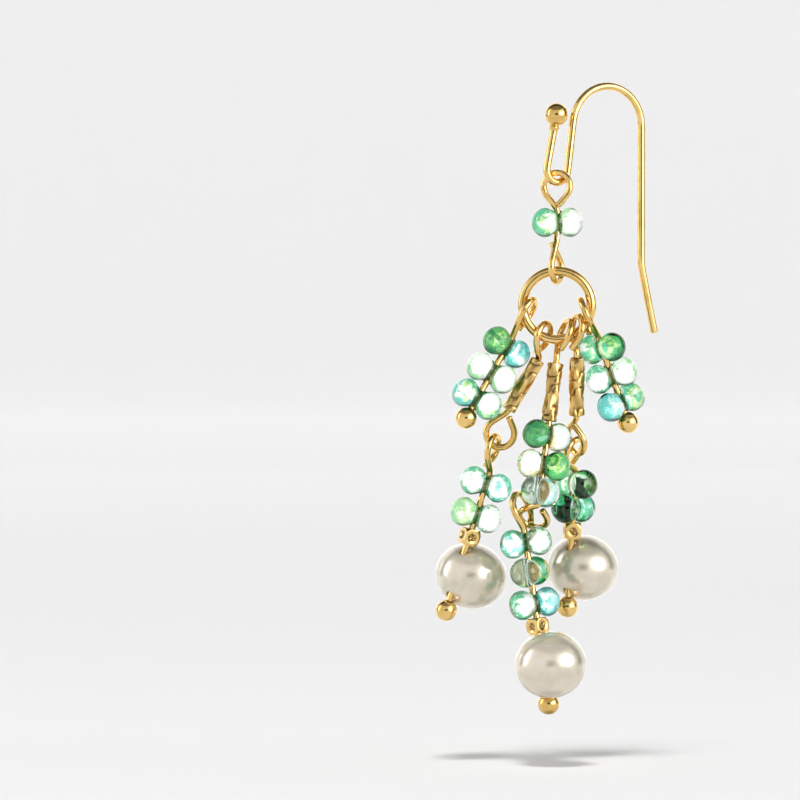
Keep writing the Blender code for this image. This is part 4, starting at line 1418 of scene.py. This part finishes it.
def glass_material(name, finish):
    """Marbled glass for one bead."""
    beads = bpy.context.scene.earring_beads
    material, tree, shader = new_material(name)
    place = add_node(tree, "Attribute", attribute_name="own_place")
    glass = grouped(tree, GLASS_GROUP, {
        "Place": place.outputs["Vector"], "Shift": finish.shift, "Clear": opaque(beads.clear),
        "Hole Shade": opaque(beads.hole_shade), "Left": opaque(finish.left), "Left Deep": opaque(finish.left_deep),
        "Left Fill": finish.left_fill, "Right": opaque(finish.right),
        "Right Deep": opaque(finish.right_deep), "Right Fill": finish.right_fill})
    feed(tree, shader, {"Base Color": glass["Colour"], "Metallic": 0.0, "Roughness": beads.roughness,
                        "IOR": GLASS_IOR, "Transmission Weight": 1.0})
    bump(tree, shader, glass["Height"], *GLASS_BUMP)
    return material


def pearl_material(name, shift):
    """Nacre with a clear lustre over a soft body."""
    pieces = bpy.context.scene.earring_pieces
    material, tree, shader = new_material(name)
    place = add_node(tree, "Attribute", attribute_name="own_place")
    nacre = grouped(tree, NACRE_GROUP, {
        "Place": place.outputs["Vector"], "Shift": shift, "Body": opaque(pieces.body),
        "Blush": opaque(pieces.blush), "Lustre": pieces.nacre_roughness})
    feed(tree, shader, {"Base Color": nacre["Colour"], "Roughness": nacre["Roughness"],
                        "Metallic": NACRE_SHEEN, "IOR": NACRE_IOR, **NACRE_COAT})
    bump(tree, shader, nacre["Height"], *NACRE_BUMP)
    return material


def glow_from(tree, shader, away, step):
    """White glow that changes with the distance from a middle."""
    feed(tree, shader, {"Emission Color": WHITE,
                        "Emission Strength": ramp(tree, vector_length(tree, away), *step)})


def paper_material():
    """Plain matt paper with a faint tooth, and painted light: it glows a little where it is far from the
    earring.
    """
    stage = bpy.context.scene.earring_stage
    material, tree, shader = new_material("Pale paper")
    place = add_node(tree, "TexCoord").outputs["Object"]
    tooth = noise(tree, place, *PAPER_TOOTH)
    tint = blend(tree, times(tree, tooth, TOOTH_SHARE), opaque(stage.paper), opaque(TOOTH_GREY))
    feed(tree, shader, {"Base Color": tint, "Roughness": PAPER_ROUGHNESS,
                        "Specular IOR Level": PAPER_GLOSS})
    # Painted light: the paper glows more the farther it lies from the earring
    glow_from(tree, shader, vector_maths(tree, "MULTIPLY", place, (1.0, 1.0, 0.0)), PAPER_GLOW_STEP)
    bump(tree, shader, tooth, *PAPER_BUMP)
    return material


def card_material(name, glow, half_width, half_height):
    """Black card, or white card that glows in its middle, which polished surfaces mirror."""
    material, tree, shader = new_material(name)
    place = add_node(tree, "TexCoord").outputs["Object"]
    shares = vector_maths(tree, "MULTIPLY", place, (1 / half_width, 1 / half_height, 0.0))
    feed(tree, shader, {"Base Color": opaque(CARD_WHITE if glow else CARD_BLACK),
                        "Roughness": CARD_ROUGHNESS, "Specular IOR Level": 0.0})
    glow_from(tree, shader, shares, (GLOW_CORE, 1.0, glow, min(glow, GLOW_EDGE)))
    return material


class EARRING_OT_ear_hook(bpy.types.Operator):
    """Build the ear hook: one wire with a ball and a solder collar on its front end"""

    bl_idname = "earring.ear_hook"
    bl_label = "Ear Hook"

    def execute(self, context):
        wire = context.scene.earring_wire
        points = hook_place(hook_outline(wire))
        square = np.tile(np.cross(hook_place((1.0, 0.0)), DOWN), (len(points), 1))
        mesh = headed_mesh("ear_hook_gold", points, square, wire.hook, wire.hook_ball, wire.collar)
        finish_piece(mesh, wire_gold("Hook gold"), "ear_hook")
        return {"FINISHED"}


class EARRING_OT_pins(bpy.types.Operator):
    """Build the pins: the link and bar pins with two eyes, and the head pins with an eye and a ball"""

    bl_idname = "earring.pins"
    bl_label = "Pins"

    def execute(self, context):
        wire = context.scene.earring_wire
        layout = earring_layout(context.scene)
        material = wire_gold("Pin gold")
        for node, (points, square) in layout["eye_pins"].items():
            finish_piece(wire_mesh(node + "_gold", points, square, wire.pin), material, node)
        for node, (points, square) in layout["head_pins"].items():
            mesh = headed_mesh(node + "_gold", points, square, wire.pin, wire.ball, 0.0)
            finish_piece(mesh, material, node)
        return {"FINISHED"}


class EARRING_OT_ring(bpy.types.Operator):
    """Build the split ring that carries the five strands"""

    bl_idname = "earring.ring"
    bl_label = "Ring"

    def execute(self, context):
        wire, beads = context.scene.earring_wire, context.scene.earring_beads
        half = math.degrees(wire.ring_slit / 2 / ring_radius(wire))
        angles = np.linspace(RING_SLIT_AT + half, RING_SLIT_AT + 360.0 - half, 4 * ARC_STEPS)
        points = ring_points(angles, wire, beads)
        square = np.tile((0.0, 1.0, 0.0), (len(points), 1))
        mesh = wire_mesh("ring_gold", points, square, wire.ring)
        finish_piece(mesh, wire_gold("Ring gold"), "ring")
        return {"FINISHED"}


class EARRING_OT_glass_beads(bpy.types.Operator):
    """Build the two-lobed glass beads, each with its own streaks"""

    bl_idname = "earring.glass_beads"
    bl_label = "Glass Beads"

    def execute(self, context):
        beads = context.scene.earring_beads
        for i, (node, spot) in enumerate(earring_layout(context.scene)["beads"].items()):
            grid = bead_grid(beads, BEAD_PHASE * i)
            mesh = torus_mesh(node + "_glass", placed(grid, spot, 1.0))
            store_place(mesh, grid, beads.lobe)
            finish_piece(mesh, glass_material(f"Glass {i + 1}", BEAD_GLASS[node]), node)
        return {"FINISHED"}


class EARRING_OT_tubes(bpy.types.Operator):
    """Build the fluted tubes of the inner strands"""

    bl_idname = "earring.tubes"
    bl_label = "Tubes"

    def execute(self, context):
        pieces = context.scene.earring_pieces
        material = gold_material("Tube gold", pieces.tube_roughness, TUBE_DEPTH)
        for i, (node, spot) in enumerate(earring_layout(context.scene)["tubes"].items()):
            grid = tube_grid(pieces, TUBE_PHASE * i)
            mesh = torus_mesh(node + "_gold", placed(grid, spot, -1.0))
            store_hollow_shade(mesh, tube_hollow_shade(grid, pieces))
            finish_piece(mesh, material, node)
        return {"FINISHED"}


class EARRING_OT_spacers(bpy.types.Operator):
    """Build the cornerless cubes above the pearls"""

    bl_idname = "earring.spacers"
    bl_label = "Spacers"

    def execute(self, context):
        pieces = context.scene.earring_pieces
        material = gold_material("Spacer gold", pieces.spacer_roughness, SPACER_DEPTH)
        grid = spacer_grid(pieces)
        for node, spot in earring_layout(context.scene)["spacers"].items():
            mesh = torus_mesh(node + "_gold", placed(grid, spot, -1.0))
            store_hollow_shade(mesh, spacer_hollow_shade(grid, pieces))
            finish_piece(mesh, material, node)
        return {"FINISHED"}


class EARRING_OT_pearls(bpy.types.Operator):
    """Build the pearls, drilled a little off their middles"""

    bl_idname = "earring.pearls"
    bl_label = "Pearls"

    def execute(self, context):
        pieces = context.scene.earring_pieces
        for i, (node, (spot, offset)) in enumerate(earring_layout(context.scene)["pearls"].items()):
            grid = pearl_grid(pieces, offset, PEARL_PHASE * i)
            mesh = torus_mesh(node + "_nacre", placed(grid, spot, -1.0))
            store_place(mesh, grid, pieces.pearl)
            shift = [part * i for part in NACRE_SHIFT]
            finish_piece(mesh, pearl_material(f"Nacre {i + 1}", shift), node)
        return {"FINISHED"}


def bowl_mesh(floor):
    """Floor that curves up into a round wall: its section is a line, a quarter circle and a line."""
    angles = np.radians(np.linspace(-90.0, 0.0, BOWL_STEPS))
    radius = np.concatenate((np.linspace(FLOOR_MIDDLE, FLOOR_RADIUS, BOWL_STEPS),
                             FLOOR_RADIUS + COVE * np.cos(angles)[1:], (FLOOR_RADIUS + COVE,)))
    height = np.concatenate((np.zeros(BOWL_STEPS), COVE + COVE * np.sin(angles)[1:], (WALL_TOP,)))
    turns = full_turn(BOWL_TURNS)
    grid = np.stack((radius[:, None] * np.cos(turns), radius[:, None] * np.sin(turns),
                     np.broadcast_to(height[:, None] + floor, (len(radius), BOWL_TURNS))), axis=-1)
    faces = grid_faces(len(radius), BOWL_TURNS, False)[:, ::-1].tolist()
    mesh = mesh_of("studio_floor", grid.reshape(-1, 3), faces + [list(range(BOWL_TURNS))])
    mesh.shade_smooth()
    return mesh


def card_mesh(name, width, height):
    """A flat card."""
    corners = np.array([(-1, -1, 0), (1, -1, 0), (1, 1, 0), (-1, 1, 0)]) * (width / 2, height / 2, 0.0)
    return mesh_of(name, corners, [(0, 1, 2, 3)])


def band_mesh(middle):
    """A hoop round the line of sight, which the rims of the glass show as a dark outline."""
    turns = full_turn(BOWL_TURNS)
    ring = np.stack((np.cos(turns), np.zeros(BOWL_TURNS), np.sin(turns)), axis=-1) * BAND_RADIUS + middle
    points = np.concatenate((ring + (0.0, BAND_FRONT, 0.0), ring + (0.0, BAND_BACK, 0.0)))
    return mesh_of("dark_band", points, grid_faces(2, BOWL_TURNS, False).tolist())


def heading(azimuth, elevation):
    """Unit vector from the earring, with the azimuth counted from the front to the right."""
    azimuth = math.radians(azimuth)
    elevation = math.radians(elevation)
    return np.array((math.sin(azimuth) * math.cos(elevation), -math.cos(azimuth) * math.cos(elevation),
                     math.sin(elevation)))


def shown(name, data):
    """An object in the scene for a mesh, a light or a camera."""
    obj = bpy.data.objects.new(name, data)
    bpy.context.scene.collection.objects.link(obj)
    return obj


def place_facing(obj, direction, distance, aim):
    """Moves the object to a distance from the aim in a direction, with its back turned outwards."""
    turn = Vector(direction).to_track_quat("Z", "Y").to_matrix().to_4x4()
    turn.translation = Vector(aim + direction * distance)
    obj.matrix_world = turn


def mirrored(name, mesh, material):
    """A piece of the studio that only reflections and glass show, so that it casts no shadow."""
    obj = shown(name, mesh)
    mesh.materials.append(material)
    obj.visible_camera = False
    obj.visible_diffuse = False
    obj.visible_shadow = False
    return obj


class EARRING_OT_stage(bpy.types.Operator):
    """Set the pale floor, the soft lights and the camera"""

    bl_idname = "earring.stage"
    bl_label = "Stage"

    def execute(self, context):
        stage = context.scene.earring_stage
        middle = np.array(((CAD_BOX[0][0] + CAD_BOX[1][0]) / 2, 0.0, (CAD_BOX[0][2] + CAD_BOX[1][2]) / 2))
        floor = shown("studio_floor", bowl_mesh(stage.floor))
        floor.data.materials.append(paper_material())

        for name, azimuth, elevation, distance, width, height, watts in SOFT_BOXES:
            light = bpy.data.lights.new(name, "AREA")
            light.shape = "RECTANGLE"
            light.size = width
            light.size_y = height
            light.energy = watts
            box = shown(name, light)
            place_facing(box, heading(azimuth, elevation), distance, middle)
            box.visible_camera = False
            box.visible_glossy = False

        for name, azimuth, elevation, distance, width, height, glow, through in CARDS:
            material = card_material(name, glow, width / 2, height / 2)
            card = mirrored(name, card_mesh(name, width, height), material)
            card.visible_transmission = through
            place_facing(card, heading(azimuth, elevation), distance, middle)

        material = card_material("low_card", LOW_CARD_GLOW, LOW_CARD_SPREAD, LOW_CARD_SPREAD)
        low_card = mirrored("low_card", card_mesh("low_card", LOW_CARD_WIDTH, LOW_CARD_DEPTH), material)
        low_card.location = (0.0, LOW_CARD_DEPTH / 2 + LOW_CARD_START, stage.floor + LOW_CARD_RISE)
        mirrored("dark_band", band_mesh(middle), card_material("Dark band", 0.0, 1.0, 1.0))

        world = bpy.data.worlds.new("Studio air")
        world.use_nodes = True
        air = world.node_tree.nodes["Background"].inputs
        air["Color"].default_value = WHITE
        air["Strength"].default_value = WORLD_STRENGTH
        context.scene.world = world
        context.scene.view_settings.view_transform = "Standard"

        lens = bpy.data.cameras.new("camera")
        lens.lens = lens.sensor_width * stage.distance / stage.width
        lens.clip_start = CAMERA_CLIP
        camera = shown("camera", lens)
        aim = np.array((stage.aim_x, 0.0, stage.aim_z))
        place_facing(camera, heading(0.0, math.degrees(stage.elevation)), stage.distance, aim)
        context.scene.camera = camera
        return {"FINISHED"}


class EARRING_PT_panel(bpy.types.Panel):
    """Steps that dress the earring"""

    bl_idname = "EARRING_PT_panel"
    bl_label = "Chandelier Earring"
    bl_space_type = "VIEW_3D"
    bl_region_type = "UI"
    bl_category = "Earring"

    def draw(self, context):
        for step in STEPS:
            self.layout.operator(step.bl_idname)
        for settings in ("earring_wire", "earring_beads", "earring_pieces", "earring_stage"):
            box = self.layout.box()
            group = getattr(context.scene, settings)
            for name in group.bl_rna.properties.keys():
                if name not in ("rna_type", "name"):
                    box.prop(group, name)


STEPS = (EARRING_OT_ear_hook, EARRING_OT_pins, EARRING_OT_ring, EARRING_OT_glass_beads,
         EARRING_OT_tubes, EARRING_OT_spacers, EARRING_OT_pearls, EARRING_OT_stage)
SETTINGS = {"earring_wire": EarringWire, "earring_beads": EarringBeads,
            "earring_pieces": EarringPieces, "earring_stage": EarringStage}


def register():
    for name, group in SETTINGS.items():
        bpy.utils.register_class(group)
        setattr(bpy.types.Scene, name, bpy.props.PointerProperty(type=group))
    for made in STEPS + (EARRING_PT_panel,):
        bpy.utils.register_class(made)


def unregister():
    for made in reversed(STEPS + (EARRING_PT_panel,)):
        bpy.utils.unregister_class(made)
    for name, group in SETTINGS.items():
        delattr(bpy.types.Scene, name)
        bpy.utils.unregister_class(group)


def main():
    """Builds everything."""
    register()
    build_gold_group()
    build_glass_group()
    build_nacre_group()
    bpy.ops.earring.ear_hook()
    bpy.ops.earring.pins()
    bpy.ops.earring.ring()
    bpy.ops.earring.glass_beads()
    bpy.ops.earring.tubes()
    bpy.ops.earring.spacers()
    bpy.ops.earring.pearls()
    bpy.ops.earring.stage()


if __name__ == "__main__":
    main()
